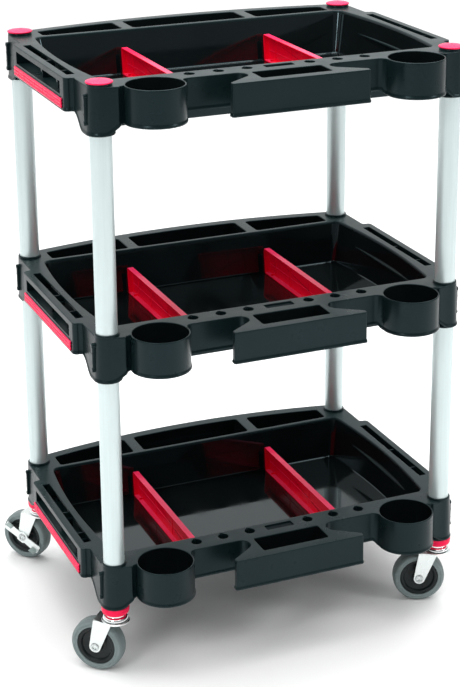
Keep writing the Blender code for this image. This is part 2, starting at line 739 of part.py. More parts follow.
def add_brake(corner, parts, materials, swivel, meshes):
    pedal = add_object(f"brake_pedal_{corner}", meshes["pedal"], parts, materials["zinc"], swivel)
    pedal.location = (TRAIL * MM, 0, WHEEL_RADIUS * MM)
    pedal.rotation_euler.y = -math.radians(PEDAL_ANGLE)
    angle = math.radians(SHOE_ANGLE)
    centre = WHEEL_RADIUS + SHOE_GAP + SHOE_SIZE[0] / 2
    shoe = add_object(f"brake_shoe_{corner}", meshes["shoe"], parts, materials["steel"], swivel)
    shoe.location = ((TRAIL + centre * math.cos(angle)) * MM, 0,
                     (WHEEL_RADIUS + centre * math.sin(angle)) * MM)
    shoe.rotation_euler.y = -angle


# Assembly

def wheel_reach(corner, axis):
    """How far a caster's wheel reaches along X or Y, as its lowest and highest place in mm."""
    trail = TRAIL_DIRECTIONS[corner]
    leg = (LEG_X, LEG_Y)[axis] * CORNERS[corner][axis]
    size = math.hypot(*trail)
    along, across = abs(trail[axis]) / size, abs(trail[1 - axis]) / size
    half = (WHEEL_RADIUS - SHOULDER) * along + (TYRE_HALF - SHOULDER) * across + SHOULDER
    axle = leg + TRAIL * trail[axis] / size
    return axle - half, axle + half


def footprint_centre():
    """The middle of the box round the whole cart, because the casters trail to one side."""
    across = [value for corner in CORNERS for value in wheel_reach(corner, 0)]
    along = [value for corner in CORNERS for value in wheel_reach(corner, 1)]
    across += [-STRIP_FACE_X, STRIP_FACE_X]
    along += [BLOCK_FRONT_Y, bow_y(0.0)]
    return (min(across) + max(across)) / 2, (min(along) + max(along)) / 2


def make_materials():
    return {
        "tray": make_material("tray_plastic", (0.018, 0.023, 0.024), 0.42),
        "divider": make_material("red_plastic", (0.75, 0.01, 0.02), 0.3),
        "trim": make_material("trim_plastic", (0.85, 0.03, 0.07), 0.35),
        "collar": make_material("collar_plastic", (0.85, 0.02, 0.06), 0.4),
        "tube": make_material("tube_aluminium", (0.74, 0.79, 0.79), 0.3, 1.0),
        "zinc": make_material("zinc_plate", (0.80, 0.83, 0.82), 0.25, 1.0),
        "chrome": make_material("race_chrome", (0.85, 0.86, 0.87), 0.08, 1.0),
        "steel": make_material("pin_steel", (0.62, 0.65, 0.66), 0.3, 1.0),
        "hub": make_material("hub_plastic", (0.014, 0.018, 0.019), 0.4),
        "tyre": make_material("tyre_rubber", (0.16, 0.20, 0.20), 0.65),
    }


def add_tray_level(level, parts, materials, cart, meshes):
    rim = (BOTTOM_RIM_Z + TRAY_LEVELS[level] * TRAY_PITCH) * MM
    tray = add_object(f"tray_{level}", meshes["tray"], parts, materials["tray"], cart)
    tray.location.z = rim
    for side, sign in SIDES.items():
        divider = add_object(f"divider_{level}_{side}", meshes["divider"], parts,
                             materials["divider"], cart)
        divider.location = (sign * DIVIDER_X * MM, 0.0, rim)
        strip = add_object(f"side_strip_{level}_{side}", meshes[f"strip_{side}"], parts,
                           materials["trim"], cart)
        strip.location.z = rim


def add_leg(corner, parts, materials, cart):
    sx, sy = CORNERS[corner]
    for number, name in enumerate(("lower", "upper")):
        rim = BOTTOM_RIM_Z + number * TRAY_PITCH
        low, high = rim - TUBE_SEAT, rim + TRAY_PITCH - POST_DEPTH + TUBE_SEAT
        inner = TUBE_RADIUS - TUBE_WALL
        tube = turned(f"tube_{name}_{corner}",
                      [(TUBE_RADIUS, high), (TUBE_RADIUS, low), (inner, low), (inner, high)],
                      parts, materials["tube"], cart)
        tube.location = (sx * LEG_X * MM, sy * LEG_Y * MM, 0.0)
    top = BOTTOM_RIM_Z + 2 * TRAY_PITCH + COLLAR_RISE + GAP
    plug = TUBE_RADIUS - GAP
    dome = [(CAP_RADIUS * math.cos(math.radians(a)), top + 1.5 + (CAP_HEIGHT - 1.5)
             * math.sin(math.radians(a))) for a in (68, 45, 22, 0)]
    cap = turned(f"tube_cap_{corner}",
                 [(0.0, top + CAP_HEIGHT)] + dome + [(CAP_RADIUS, top), (plug, top),
                 (plug, top - CAP_PLUG_DEPTH), (0.0, top - CAP_PLUG_DEPTH)],
                 parts, materials["trim"], cart)
    cap.location = (sx * LEG_X * MM, sy * LEG_Y * MM, 0.0)


def main():
    clear_scene()
    parts = make_collection("utility_cart")
    cutters = make_collection("cutters")
    materials = make_materials()
    cart = bpy.data.objects.new("cart", None)
    parts.objects.link(cart)
    middle = footprint_centre()
    cart.location = (-middle[0] * MM, -middle[1] * MM, 0.0)

    shoe_corner = Vector(SHOE_SIZE) / 2
    meshes = {
        "tray": tray_mesh(cutters),
        "divider": divider_mesh(cutters),
        "strip_right": strip_mesh(),
        "strip_left": mirrored_mesh(strip_mesh(), flip_x=True),
        "fork": fork_mesh(cutters),
        "pedal": pedal_mesh(cutters),
        "shoe": box(-shoe_corner, shoe_corner),
    }
    for level in TRAY_LEVELS:
        add_tray_level(level, parts, materials, cart, meshes)
    for corner in CORNERS:
        add_leg(corner, parts, materials, cart)
        add_caster(corner, parts, materials, cart, meshes)
    bpy.context.view_layer.update()


main()
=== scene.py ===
"""Looks of the rolling utility cart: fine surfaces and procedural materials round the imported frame.

Shapes are given in millimetres in the cart's own frame, whose origin is on the floor midway between the
four legs. Each tray is built once, with its rim at height 0, and each caster in a frame of its own whose
+X points along its trail. The CAD pieces say where they all go.
"""
import json
import math

import bmesh
import bpy
from mathutils import Matrix, Vector
from mathutils.geometry import delaunay_2d_cdt


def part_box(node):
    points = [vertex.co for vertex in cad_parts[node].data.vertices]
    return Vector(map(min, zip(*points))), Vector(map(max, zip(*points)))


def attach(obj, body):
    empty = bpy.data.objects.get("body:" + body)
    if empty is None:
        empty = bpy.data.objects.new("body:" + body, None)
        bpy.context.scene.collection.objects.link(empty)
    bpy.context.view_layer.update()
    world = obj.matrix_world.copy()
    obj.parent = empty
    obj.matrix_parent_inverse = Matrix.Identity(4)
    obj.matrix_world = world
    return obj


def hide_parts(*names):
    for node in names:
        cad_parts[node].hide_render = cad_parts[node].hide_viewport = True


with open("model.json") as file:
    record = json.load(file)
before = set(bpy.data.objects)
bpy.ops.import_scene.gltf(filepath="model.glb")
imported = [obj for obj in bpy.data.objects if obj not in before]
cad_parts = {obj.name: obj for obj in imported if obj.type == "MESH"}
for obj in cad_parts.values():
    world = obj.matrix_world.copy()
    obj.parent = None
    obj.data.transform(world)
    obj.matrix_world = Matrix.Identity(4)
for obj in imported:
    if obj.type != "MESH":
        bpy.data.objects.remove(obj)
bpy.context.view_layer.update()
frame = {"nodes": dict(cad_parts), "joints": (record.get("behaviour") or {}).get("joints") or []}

MM = 0.001
SHARP_ANGLE = 38.0
LEVELS = ("bottom", "middle", "top")
SIDES = {"left": -1, "right": 1}
CORNERS = {"front_left": (-1, -1), "front_right": (1, -1), "rear_left": (-1, 1), "rear_right": (1, 1)}

# Tray: heights are measured down from its rim
WALL = 4.8
SHELL = 2.1  # the skirt's thickness where another wall stands behind it
PLATE = 4.0
SKIRT_DEPTH = 58.0
CUP_SKIRT_DEPTH = 65.0
FOOT_DEPTH = 83.0
LEG_X = 330.0
LEG_Y = 230.0
POST_RADIUS = 24.0
FOOT_FLARE = 2.0
COLLAR_RISE = 4.0
SIDE_X = 354.0
BULGE_X = 370.0
BULGE_Y = (-152.0, 140.0)
BULGE_ROUND = 10.0
FRONT_Y = -244.0
REAR_BOW_RADIUS = 1490.0
WELL_X = 316.0
WELL_Y = (-196.0, 189.0)
WELL_BOW = 12.0
WELL_ROUND = 16.0
WELL_DEPTH = 82.0
WELL_DRAFT = 14.0
CUP_PLACE = (243.0, -260.0)
CUP_OUTER = 54.0
CUP_INNER = 49.6
CUP_DEPTH = 53.0
CUP_FILLET = 12.0
POCKET_SPANS = ((-294.0, -138.0), (-116.0, 116.0), (138.0, 294.0))
POCKET_FRONT_Y = 198.0
POCKET_RIM = 23.0
POCKET_DEPTH = 48.0
BLOCK_FRONT_Y = -317.0
BLOCK_HALF = 129.0
BLOCK_ROUND = 5.0
WING_BACK_Y = -304.0
NOTCH_X = 95.0
NOTCH_RADIUS = 15.5
TOOL_POCKET_HALF = 65.0
TOOL_POCKET_Y = (-295.0, -246.0)
TOOL_POCKET_DEPTH = 45.0
TOOL_HOLE_XS = (59.0, 112.0, 165.0)
TOOL_HOLE_Y = -215.0
TOOL_HOLE_RADIUS = 9.5
TOOL_SLOT = (-27.0, -225.0, 27.0, -208.0)
SIDE_SLOT = (341.0, -135.0, 355.0, 125.0)
WINDOW_Z = (-10.0, -32.0)
WINDOW_Y = (-135.0, 125.0)
DIVIDER_X = 146.0
STRIP_Z = (-55.0, -37.5)
STRIP_Y = (-146.0, 134.0)
STRIP_X = 368.9
STRIP_RIDGES = 3
STRIP_RIDGE_RISE = 2.6

TUBE_RADIUS = 19.0
TUBE_WALL = 1.5

# Casters
TRAIL = 35.0
WHEEL_RADIUS = 50.0
FORK_INNER = 16.5
FORK_OUTER = 19.0
FORK_TOP = 105.5
PEDAL_ANGLE = 30.5
PEDAL_HALF = 43.4
PEDAL_END_HALF = 9.0
PEDAL_EYE_RADIUS = 12.5
PEDAL_THICKNESS = 2.0


def box_centre(node):
    low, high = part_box(node)
    return (low + high) / 2


leg_centres = [box_centre(f"tube_upper_{corner}") for corner in CORNERS]
cart_middle = sum(leg_centres, Vector()) / 4
CART = Matrix.Translation((cart_middle.x, cart_middle.y, 0.0))
RIMS = {level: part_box(f"tray_{level}")[1].z / MM - COLLAR_RISE for level in LEVELS}


# Outlines, all counter-clockwise, as (x, y)

def arc(centre, radius, start, end, steps):
    """Points on a circle from one angle to another, in degrees."""
    points = []
    for step in range(steps + 1):
        angle = math.radians(start + (end - start) * step / steps)
        points.append((centre[0] + radius * math.cos(angle), centre[1] + radius * math.sin(angle)))
    return points


def circle(centre, radius, steps):
    return arc(centre, radius, 0, 360, steps)[:-1]


def rounded(corners, radius, steps=5):
    """A convex outline with its corners rounded off."""
    points = []
    for index, corner in enumerate(corners):
        here = Vector(corner)
        before = (Vector(corners[index - 1]) - here).normalized()
        after = (Vector(corners[(index + 1) % len(corners)]) - here).normalized()
        half = before.angle(after) / 2
        centre = here + (before + after).normalized() * (radius / math.sin(half))
        first = here + before * (radius / math.tan(half)) - centre
        last = here + after * (radius / math.tan(half)) - centre
        turn = first.angle_signed(last)
        for step in range(steps + 1):
            spoke = first.copy()
            spoke.rotate(Matrix.Rotation(-turn * step / steps, 2))
            points.append(tuple(centre + spoke))
    return points


def rectangle(x0, y0, x1, y1):
    return [(x0, y0), (x1, y0), (x1, y1), (x0, y1)]


def inward(points):
    """For each point of an outline, the step that moves both its edges in by one."""
    steps = []
    for index, point in enumerate(points):
        here = Vector(point)
        before = (here - Vector(points[index - 1])).normalized()
        after = (Vector(points[(index + 1) % len(points)]) - here).normalized()
        normals = Vector((-before.y, before.x)) + Vector((-after.y, after.x))
        steps.append(2 * normals / max(normals.length_squared, 1.0))
    return steps


def ring_maker(points):
    """A function of (inset, height) that gives one level of a straight-sided hollow."""
    steps = inward(points)

    def ring(inset, height):
        return [(x + inset * step.x, y + inset * step.y, height)
                for (x, y), step in zip(points, steps)]
    return ring


def bow_angle():
    return math.degrees(math.asin(LEG_X / (REAR_BOW_RADIUS - POST_RADIUS)))


def bow_y(x, inset=0.0):
    """The rear rim's outer edge, or a line inside it, at a place across the cart."""
    turn = math.radians(bow_angle())
    centre_y = LEG_Y - (REAR_BOW_RADIUS - POST_RADIUS) * math.cos(turn)
    return centre_y + math.sqrt((REAR_BOW_RADIUS - inset) ** 2 - x * x)


def tray_outline():
    block = arc((BLOCK_HALF - BLOCK_ROUND, BLOCK_FRONT_Y + BLOCK_ROUND), BLOCK_ROUND, -90, 0, 6)
    block += arc((BLOCK_HALF - 5.2, WING_BACK_Y - 2.3), 5.2, 0, 50, 5)
    notch = arc((NOTCH_X, FRONT_Y - NOTCH_RADIUS), NOTCH_RADIUS, -125, -270, 14)
    fillet_y = FRONT_Y - CUP_FILLET
    fillet_x = CUP_PLACE[0] - math.sqrt((CUP_OUTER + CUP_FILLET) ** 2 - (fillet_y - CUP_PLACE[1]) ** 2)
    meeting = math.degrees(math.atan2(CUP_PLACE[1] - fillet_y, CUP_PLACE[0] - fillet_x))
    fillet = arc((fillet_x, fillet_y), CUP_FILLET, 90, meeting, 8)
    cup = arc(CUP_PLACE, CUP_OUTER, meeting - 178, 8, 26)
    bump = arc((306.5, -252.0), 6.0, 200, 280, 6)
    post_lead = [(313.0, -256.6), (319.0, -255.4), (325.0, -254.4)]
    front_post = arc((LEG_X, -LEG_Y), POST_RADIUS, -88, 0, 12)
    web_ys = (-221.0, -213.0, -207.0, -201.0, -195.0, -189.0, -183.0, -177.0, -170.0, BULGE_Y[0] - 12.0)
    side = [(SIDE_X + 0.02 * index, y) for index, y in enumerate(web_ys)]
    bulge_x = BULGE_X - BULGE_ROUND
    bulge = arc((bulge_x, BULGE_Y[0]), BULGE_ROUND, -100, 0, 9)
    bulge += [(BULGE_X + 0.02, y) for y in WINDOW_Y]
    bulge += arc((bulge_x, BULGE_Y[1]), BULGE_ROUND, 0, 100, 9)
    rear_ys = [BULGE_Y[1] + 12.0] + [-y for y in reversed(web_ys[:-1])]
    rear_side = [(SIDE_X + 0.02 * (len(rear_ys) - index), y) for index, y in enumerate(rear_ys)]
    rear_post = arc((LEG_X, LEG_Y), POST_RADIUS, 0, 90 - bow_angle(), 10)
    bow = [(x, bow_y(x)) for x in range(324, -1, -18)]
    right = (block + notch + fillet + cup + bump + post_lead + front_post + side + bulge + rear_side
             + rear_post + bow)
    return right + [(-x, y) for x, y in reversed(right) if x > 0.0]


def eased(value, low, high):
    share = min(max((value - low) / (high - low), 0.0), 1.0)
    return share * share * (3 - 2 * share)


def from_cup(x, y):
    """How far a place lies outside the nearer cup's outer face."""
    return math.hypot(abs(x) - CUP_PLACE[0], y - CUP_PLACE[1]) - CUP_OUTER


def skirt_depth(x, y):
    """How far the skirt hangs down: deeper round each cup, and deepest round each leg."""
    across, along = abs(x), abs(y)
    if y < 1.0 - LEG_Y and across < 329.0:
        drop = CUP_SKIRT_DEPTH - SKIRT_DEPTH
        leg = (FOOT_DEPTH - CUP_SKIRT_DEPTH) * eased(across, 296.0, 329.0)
        wall = 1.0 - eased(from_cup(x, y), 0.0, 9.0) if across < CUP_PLACE[0] else 1.0
        return SKIRT_DEPTH + drop * wall + leg
    near_leg = eased(across, 304.0, 328.0) if along >= LEG_Y - 1.0 else eased(along, 163.0, 213.0)
    return SKIRT_DEPTH + (FOOT_DEPTH - SKIRT_DEPTH) * near_leg * (across > 300.0)


def well_ring(inset, height):
    half = WELL_X - inset
    front, rear = WELL_Y[0] + inset, WELL_Y[1] - inset
    corner = max(WELL_ROUND - 0.3 * inset, 6.0)
    middle, straight = (front + rear) / 2, (rear - front) / 2 - corner
    right = arc((half - corner, front + corner), corner, -90, 0, 8)
    for step in range(1, 16):
        share = -1 + step / 8
        right.append((half + WELL_BOW * (1 - share * share), middle + share * straight))
    right += arc((half - corner, rear - corner), corner, 0, 90, 8)
    return [(x, y, height) for x, y in right + [(-x, y) for x, y in reversed(right)]]


def pocket_outline(span):
    left, right = span
    steps = 10
    rear = [right + (left - right) * step / steps for step in range(steps + 1)]
    corners = [(left, POCKET_FRONT_Y), (right, POCKET_FRONT_Y)]
    corners += [(x, bow_y(x, POCKET_RIM)) for x in (rear[0], rear[-1])]
    points = rounded(corners, 6.0)
    straight_y = {x: y for x, y in corners[2:]}
    moved = []
    for x, y in points:
        if y > (POCKET_FRONT_Y + min(straight_y.values())) / 2:
            share = (x - left) / (right - left)
            straight = straight_y[left] * (1 - share) + straight_y[right] * share
            y += bow_y(x, POCKET_RIM) - straight
        moved.append((x, y))
    half = len(moved) - 6
    crown = [(x, bow_y(x, POCKET_RIM)) for x in rear[1:-1]]
    return moved[:half] + crown + moved[half:]


# Mesh building

def skin(shape, rings, skip=(), material=0):
    """Joins rings of equal counts with faces. Skipped faces are (ring, point) numbers."""
    loops = [[shape.verts.new(point) for point in ring] for ring in rings]
    for level, (upper, lower) in enumerate(zip(loops, loops[1:])):
        for index in range(len(upper)):
            if (level, index) in skip:
                continue
            after = (index + 1) % len(upper)
            face = shape.faces.new((upper[index], lower[index], lower[after], upper[after]))
            face.material_index = material
    return loops


def cap(shape, loop, material=0):
    shape.faces.new(loop).material_index = material


def encloses(loop, point):
    """Whether a flat loop of vertices goes round a point."""
    inside = False
    for here, before in zip(loop, [loop[-1]] + loop[:-1]):
        (x0, y0, _), (x1, y1, _) = before.co, here.co
        if (y0 > point.y) != (y1 > point.y) and point.x < x0 + (point.y - y0) / (y1 - y0) * (x1 - x0):
            inside = not inside
    return inside


def fill(shape, loops):
    """Fills the flat region between the first loop and the loops inside it."""
    verts = [vert for loop in loops for vert in loop]
    edges = []
    start = 0
    for loop in loops:
        edges += [(start + index, start + (index + 1) % len(loop)) for index in range(len(loop))]
        start += len(loop)
    flat = [vert.co.xy for vert in verts]
    triangles, origins = delaunay_2d_cdt(flat, edges, [], 0, 1e-6)[2:4]
    for triangle in triangles:
        corners = [verts[origins[number][0]] for number in triangle]
        middle = sum((corner.co for corner in corners), Vector()) / 3
        if encloses(loops[0], middle) and not any(encloses(loop, middle) for loop in loops[1:]):
            shape.faces.new(corners)


def solid(shape, rings, material=0):
    """A closed body through rings, with a flat cap at each end."""
    loops = skin(shape, rings, material=material)
    cap(shape, loops[0], material)
    cap(shape, loops[-1], material)


def turned(shape, profile, steps=48, centre=(0.0, 0.0), material=0):
    """A closed body of revolution about an upright axis. A profile that leaves the axis is a ring."""
    closed = min(radius for radius, height in profile) > 0.0
    rings = [[(*point, height) for point in circle(centre, radius, steps)]
             for radius, height in profile if radius > 0.0]
    if closed:
        rings.append(rings[0])
        loops = [[shape.verts.new(point) for point in ring] for ring in rings[:-1]]
        for upper, lower in zip(loops, loops[1:] + loops[:1]):
            for index in range(steps):
                after = (index + 1) % steps
                face = shape.faces.new((upper[index], lower[index], lower[after], upper[after]))
                face.material_index = material
    else:
        solid(shape, rings, material)


def rounded_box(shape, low, high, bevel=0.6):
    made = bmesh.ops.create_cube(shape, size=1.0)["verts"]
    low, high = Vector(low), Vector(high)
    bmesh.ops.scale(shape, vec=high - low, verts=made)
    bmesh.ops.translate(shape, vec=(low + high) / 2, verts=made)
    edges = list({edge for vert in made for edge in vert.link_edges})
    bmesh.ops.bevel(shape, geom=edges, offset=bevel, segments=2, affect="EDGES", profile=0.5)


def plate(shape, outline, low, high, axes="XZ", bevel=0.4, material=0):
    """A flat plate with rounded edges, standing on the plane that axes names."""
    ring = ring_maker(outline)
    levels = [(bevel, low), (bevel * 0.3, low + bevel * 0.3), (0.0, low + bevel),
              (0.0, high - bevel), (bevel * 0.3, high - bevel * 0.3), (bevel, high)]
    rings = [ring(inset, height) for inset, height in levels]
    if axes == "XZ":
        rings = [[(x, height, y) for x, y, height in level] for level in rings]
    if axes == "YZ":
        rings = [[(height, x, y) for x, y, height in level] for level in rings]
    solid(shape, rings, material)


def piece(name, shape, materials, body, slot, nodes=(), place=CART):
    """Turns a shape in millimetres into a piece that rides on a body and stands for CAD nodes."""
    bmesh.ops.recalc_face_normals(shape, faces=shape.faces)
    mesh = bpy.data.meshes.new(name)
    shape.to_mesh(mesh)
    shape.free()
    mesh.transform(place @ Matrix.Scale(MM, 4))
    mesh.shade_smooth()
    mesh.set_sharp_from_angle(angle=math.radians(SHARP_ANGLE))
    for material in materials:
        mesh.materials.append(material)
    return seat(name, mesh, body, slot, nodes)


def seat(name, mesh, body, slot, nodes=(), height=0.0):
    item = bpy.data.objects.new(name, mesh)
    bpy.context.scene.collection.objects.link(item)
    item.location.z = height
    modifier = item.modifiers.new("normals", "WEIGHTED_NORMAL")
    modifier.keep_sharp = True
    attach(item, body)
    if nodes:
        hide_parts(*nodes)
    return item


# Materials

PLASTIC_SHEEN = (0.66, 0.92, 1.0, 1.0)
RED_PAINTED_TOP_SHEEN = (0.95, 0.045, 0.15)  # painted reflection of the overhead light on an upward red face


class Surface:
    """A Principled material whose colour, roughness and relief vary with noise on the piece itself."""

    def __init__(self, name, colour, roughness, metallic=0.0, **sockets):
        self.material = bpy.data.materials.new(name)
        self.material.use_nodes = True
        self.material.diffuse_color = (*colour, 1.0)
        self.tree = self.material.node_tree
        self.shader = self.tree.nodes["Principled BSDF"]
        self.shader.inputs["Base Color"].default_value = (*colour, 1.0)
        self.shader.inputs["Roughness"].default_value = roughness
        self.shader.inputs["Metallic"].default_value = metallic
        for socket, value in sockets.items():
            self.shader.inputs[socket.replace("_", " ")].default_value = value
        self.colour = colour
        self.height = None
        place = self.node("ShaderNodeTexCoord")
        spread = self.node("ShaderNodeObjectInfo")
        self.coords = self.node("ShaderNodeVectorMath", operation="MULTIPLY_ADD")
        self.link(place.outputs["Object"], self.coords.inputs[0])
        self.coords.inputs[1].default_value = (1.0, 1.0, 1.0)
        self.link(spread.outputs["Random"], self.coords.inputs[2])

    def node(self, kind, **settings):
        made = self.tree.nodes.new(kind)
        for setting, value in settings.items():
            setattr(made, setting, value)
        return made

    def link(self, output, target):
        self.tree.links.new(output, target)

    def noise(self, scale, detail=4.0, stretch=(1.0, 1.0, 1.0)):
        stretched = self.node("ShaderNodeVectorMath", operation="MULTIPLY")
        self.link(self.coords.outputs[0], stretched.inputs[0])
        stretched.inputs[1].default_value = stretch
        texture = self.node("ShaderNodeTexNoise")
        texture.inputs["Scale"].default_value = scale
        texture.inputs["Detail"].default_value = detail
        self.link(stretched.outputs[0], texture.inputs["Vector"])
        return texture.outputs["Fac"]

    def scratches(self, scale):
        texture = self.node("ShaderNodeTexVoronoi", feature="DISTANCE_TO_EDGE")
        texture.inputs["Scale"].default_value = scale
        self.link(self.coords.outputs[0], texture.inputs["Vector"])
        return self.mapped(texture.outputs["Distance"], 0.0, 0.012, 1.0, 0.0)

    def facing_up(self, low=0.4, high=0.95):
        """How far the surface looks upwards, from 0 to 1."""
        geometry = self.node("ShaderNodeNewGeometry")
        split = self.node("ShaderNodeSeparateXYZ")
        self.link(geometry.outputs["Normal"], split.inputs[0])
        return self.mapped(split.outputs["Z"], low, high, 0.0, 1.0)

    def mapped(self, fac, low, high, to_low, to_high):
        spread = self.node("ShaderNodeMapRange")
        self.link(fac, spread.inputs["Value"])
        for socket, value in zip(("From Min", "From Max", "To Min", "To Max"),
                                 (low, high, to_low, to_high)):
            spread.inputs[socket].default_value = value
        return spread.outputs["Result"]

    def tint(self, fac, other):
        """Mixes another colour in by a factor."""
        mix = self.node("ShaderNodeMix", data_type="RGBA")
        colour_input = self.shader.inputs["Base Color"]
        if colour_input.is_linked:
            self.link(colour_input.links[0].from_socket, mix.inputs[6])
        else:
            mix.inputs[6].default_value = (*self.colour, 1.0)
        mix.inputs[7].default_value = (*other, 1.0)
        self.link(fac, mix.inputs[0])
        self.link(mix.outputs[2], colour_input)

    def roughen(self, fac, low, high, to_low, to_high):
        self.link(self.mapped(fac, low, high, to_low, to_high), self.shader.inputs["Roughness"])

    def relief(self, fac, distance, strength=1.0):
        bump = self.node("ShaderNodeBump")
        bump.inputs["Strength"].default_value = strength
        bump.inputs["Distance"].default_value = distance
        self.link(fac, bump.inputs["Height"])
        if self.height:
            self.link(self.height, bump.inputs["Normal"])
        self.height = bump.outputs["Normal"]
        self.link(self.height, self.shader.inputs["Normal"])


def shade(colour, factor):
    return tuple(channel * factor for channel in colour)


def tray_plastic():
    """Moulded plastic with a fine spark-eroded grain, lighter upward faces (a little dust and painted top
    light) and faint handling marks.
    """
    colour = (0.0036, 0.0088, 0.0096)
    made = Surface("tray_moulded_plastic", colour, 0.30, Specular_IOR_Level=0.22)
    made.shader.inputs["Specular Tint"].default_value = PLASTIC_SHEEN
    made.tint(made.mapped(made.noise(9.0, 6.0), 0.35, 0.7, 0.0, 0.8), shade(colour, 1.35))
    # Upward faces lighter: a little dust, and painted top light.
    made.tint(made.facing_up(), (0.008, 0.019, 0.020))
    made.tint(made.scratches(38.0), shade(colour, 1.4))
    made.roughen(made.noise(30.0, 4.0), 0.3, 0.75, 0.26, 0.34)
    made.relief(made.noise(400.0, 2.0), 0.00004, 0.06)
    made.relief(made.noise(14.0, 2.0), 0.0008, 0.08)
    return made.material


def tray_gloss():
    """The polished inside of the well, cups and pockets, with flow marks and wipe marks."""
    colour = (0.0034, 0.0052, 0.0056)
    made = Surface("tray_polished_plastic", colour, 0.07, Specular_IOR_Level=0.55)
    made.shader.inputs["Specular Tint"].default_value = PLASTIC_SHEEN
    made.tint(made.mapped(made.noise(7.0, 5.0), 0.4, 0.75, 0.0, 0.7), shade(colour, 1.9))
    made.roughen(made.noise(24.0, 6.0, (1.0, 0.35, 1.0)), 0.35, 0.75, 0.04, 0.12)
    made.relief(made.noise(6.0, 3.0), 0.0009, 0.05)
    return made.material


def coloured_plastic(name, colour, roughness, deep=0.9, painted_top_light=RED_PAINTED_TOP_SHEEN):
    made = Surface(name, colour, roughness, Specular_IOR_Level=0.15)
    # Upward faces take a lighter colour: painted top light and reflection.
    made.tint(made.facing_up(), painted_top_light)
    made.tint(made.mapped(made.noise(9.0, 4.0), 0.35, 0.75, 0.0, 0.6), shade(colour, deep))
    made.roughen(made.noise(40.0, 3.0), 0.3, 0.75, roughness * 0.85, roughness * 1.25)
    made.relief(made.noise(25.0, 2.0), 0.0003, 0.05)
    return made.material


def drawn_aluminium():
    """Satin anodised tube with fine drawing lines along its length."""
    colour = (0.64, 0.735, 0.735)
    made = Surface("drawn_aluminium", colour, 0.42, 0.6)
    lines = made.noise(420.0, 3.0, (1.0, 1.0, 0.015))
    made.tint(made.mapped(lines, 0.3, 0.7, 0.0, 0.35), shade(colour, 0.86))
    made.tint(made.mapped(made.noise(5.0, 3.0), 0.45, 0.8, 0.0, 0.35), shade(colour, 0.92))
    made.roughen(lines, 0.3, 0.7, 0.38, 0.47)
    made.relief(lines, 0.00003, 0.4)
    return made.material


def zinc_plate():
    """Bright zinc plating: faintly blotched, with small dull spots."""
    colour = (0.78, 0.83, 0.82)
    made = Surface("zinc_plating", colour, 0.26, 1.0)
    made.tint(made.mapped(made.noise(45.0, 4.0), 0.4, 0.7, 0.0, 0.4), (0.66, 0.73, 0.72))
    made.roughen(made.noise(60.0, 4.0), 0.35, 0.7, 0.26, 0.36)
    made.relief(made.noise(200.0, 2.0), 0.00005, 0.12)
    return made.material


def chrome_plate():
    colour = (0.88, 0.89, 0.90)
    made = Surface("chrome_plating", colour, 0.07, 1.0)
    made.tint(made.mapped(made.noise(90.0, 4.0), 0.5, 0.75, 0.0, 0.4), shade(colour, 0.8))
    made.roughen(made.noise(200.0, 3.0), 0.3, 0.8, 0.05, 0.13)
    return made.material


def pin_steel():
    colour = (0.62, 0.66, 0.66)
    made = Surface("pin_steel", colour, 0.28, 1.0)
    made.tint(made.mapped(made.noise(80.0, 5.0), 0.4, 0.7, 0.0, 0.7), shade(colour, 0.7))
    made.roughen(made.noise(160.0, 4.0), 0.3, 0.7, 0.22, 0.38)
    return made.material


def hub_plastic():
    colour = (0.005, 0.0085, 0.009)
    made = Surface("hub_moulded_plastic", colour, 0.30, Specular_IOR_Level=0.25)
    made.tint(made.mapped(made.noise(40.0, 5.0), 0.4, 0.7, 0.0, 0.9), shade(colour, 1.9))
    made.roughen(made.noise(50.0, 4.0), 0.3, 0.7, 0.26, 0.36)
    made.relief(made.noise(700.0, 2.0), 0.00005, 0.15)
    return made.material


def tyre_rubber(name, colour):
    """Non-marking grey rubber: dusty, with a fine moulded grain and scuffs."""
    made = Surface(name, colour, 0.6)
    made.tint(made.mapped(made.noise(30.0, 6.0), 0.35, 0.7, 0.0, 0.7), shade(colour, 0.75))
    made.tint(made.mapped(made.noise(140.0, 4.0), 0.55, 0.7, 0.0, 0.4), shade(colour, 1.35))
    made.roughen(made.noise(50.0, 4.0), 0.3, 0.7, 0.52, 0.70)
    made.relief(made.noise(800.0, 3.0), 0.0001, 0.4)
    return made.material


TRAY = tray_plastic()
GLOSS = tray_gloss()
DIVIDER = coloured_plastic("divider_red_plastic", (0.95, 0.002, 0.028), 0.20)
TRIM = coloured_plastic("trim_red_plastic", (0.95, 0.008, 0.085), 0.30)
COLLAR = coloured_plastic("collar_red_plastic", (0.95, 0.006, 0.075), 0.28)
TUBE = drawn_aluminium()
ZINC = zinc_plate()
CHROME = chrome_plate()
STEEL = pin_steel()
HUB = hub_plastic()
TYRE_TREAD = tyre_rubber("tyre_tread_rubber", (0.155, 0.195, 0.195))
TYRE_SIDE = tyre_rubber("tyre_side_rubber", (0.185, 0.235, 0.235))
TREAD = coloured_plastic("pedal_tread_coat", (0.30, 0.37, 0.36), 0.4, 0.7, (0.42, 0.52, 0.50))


# Tray

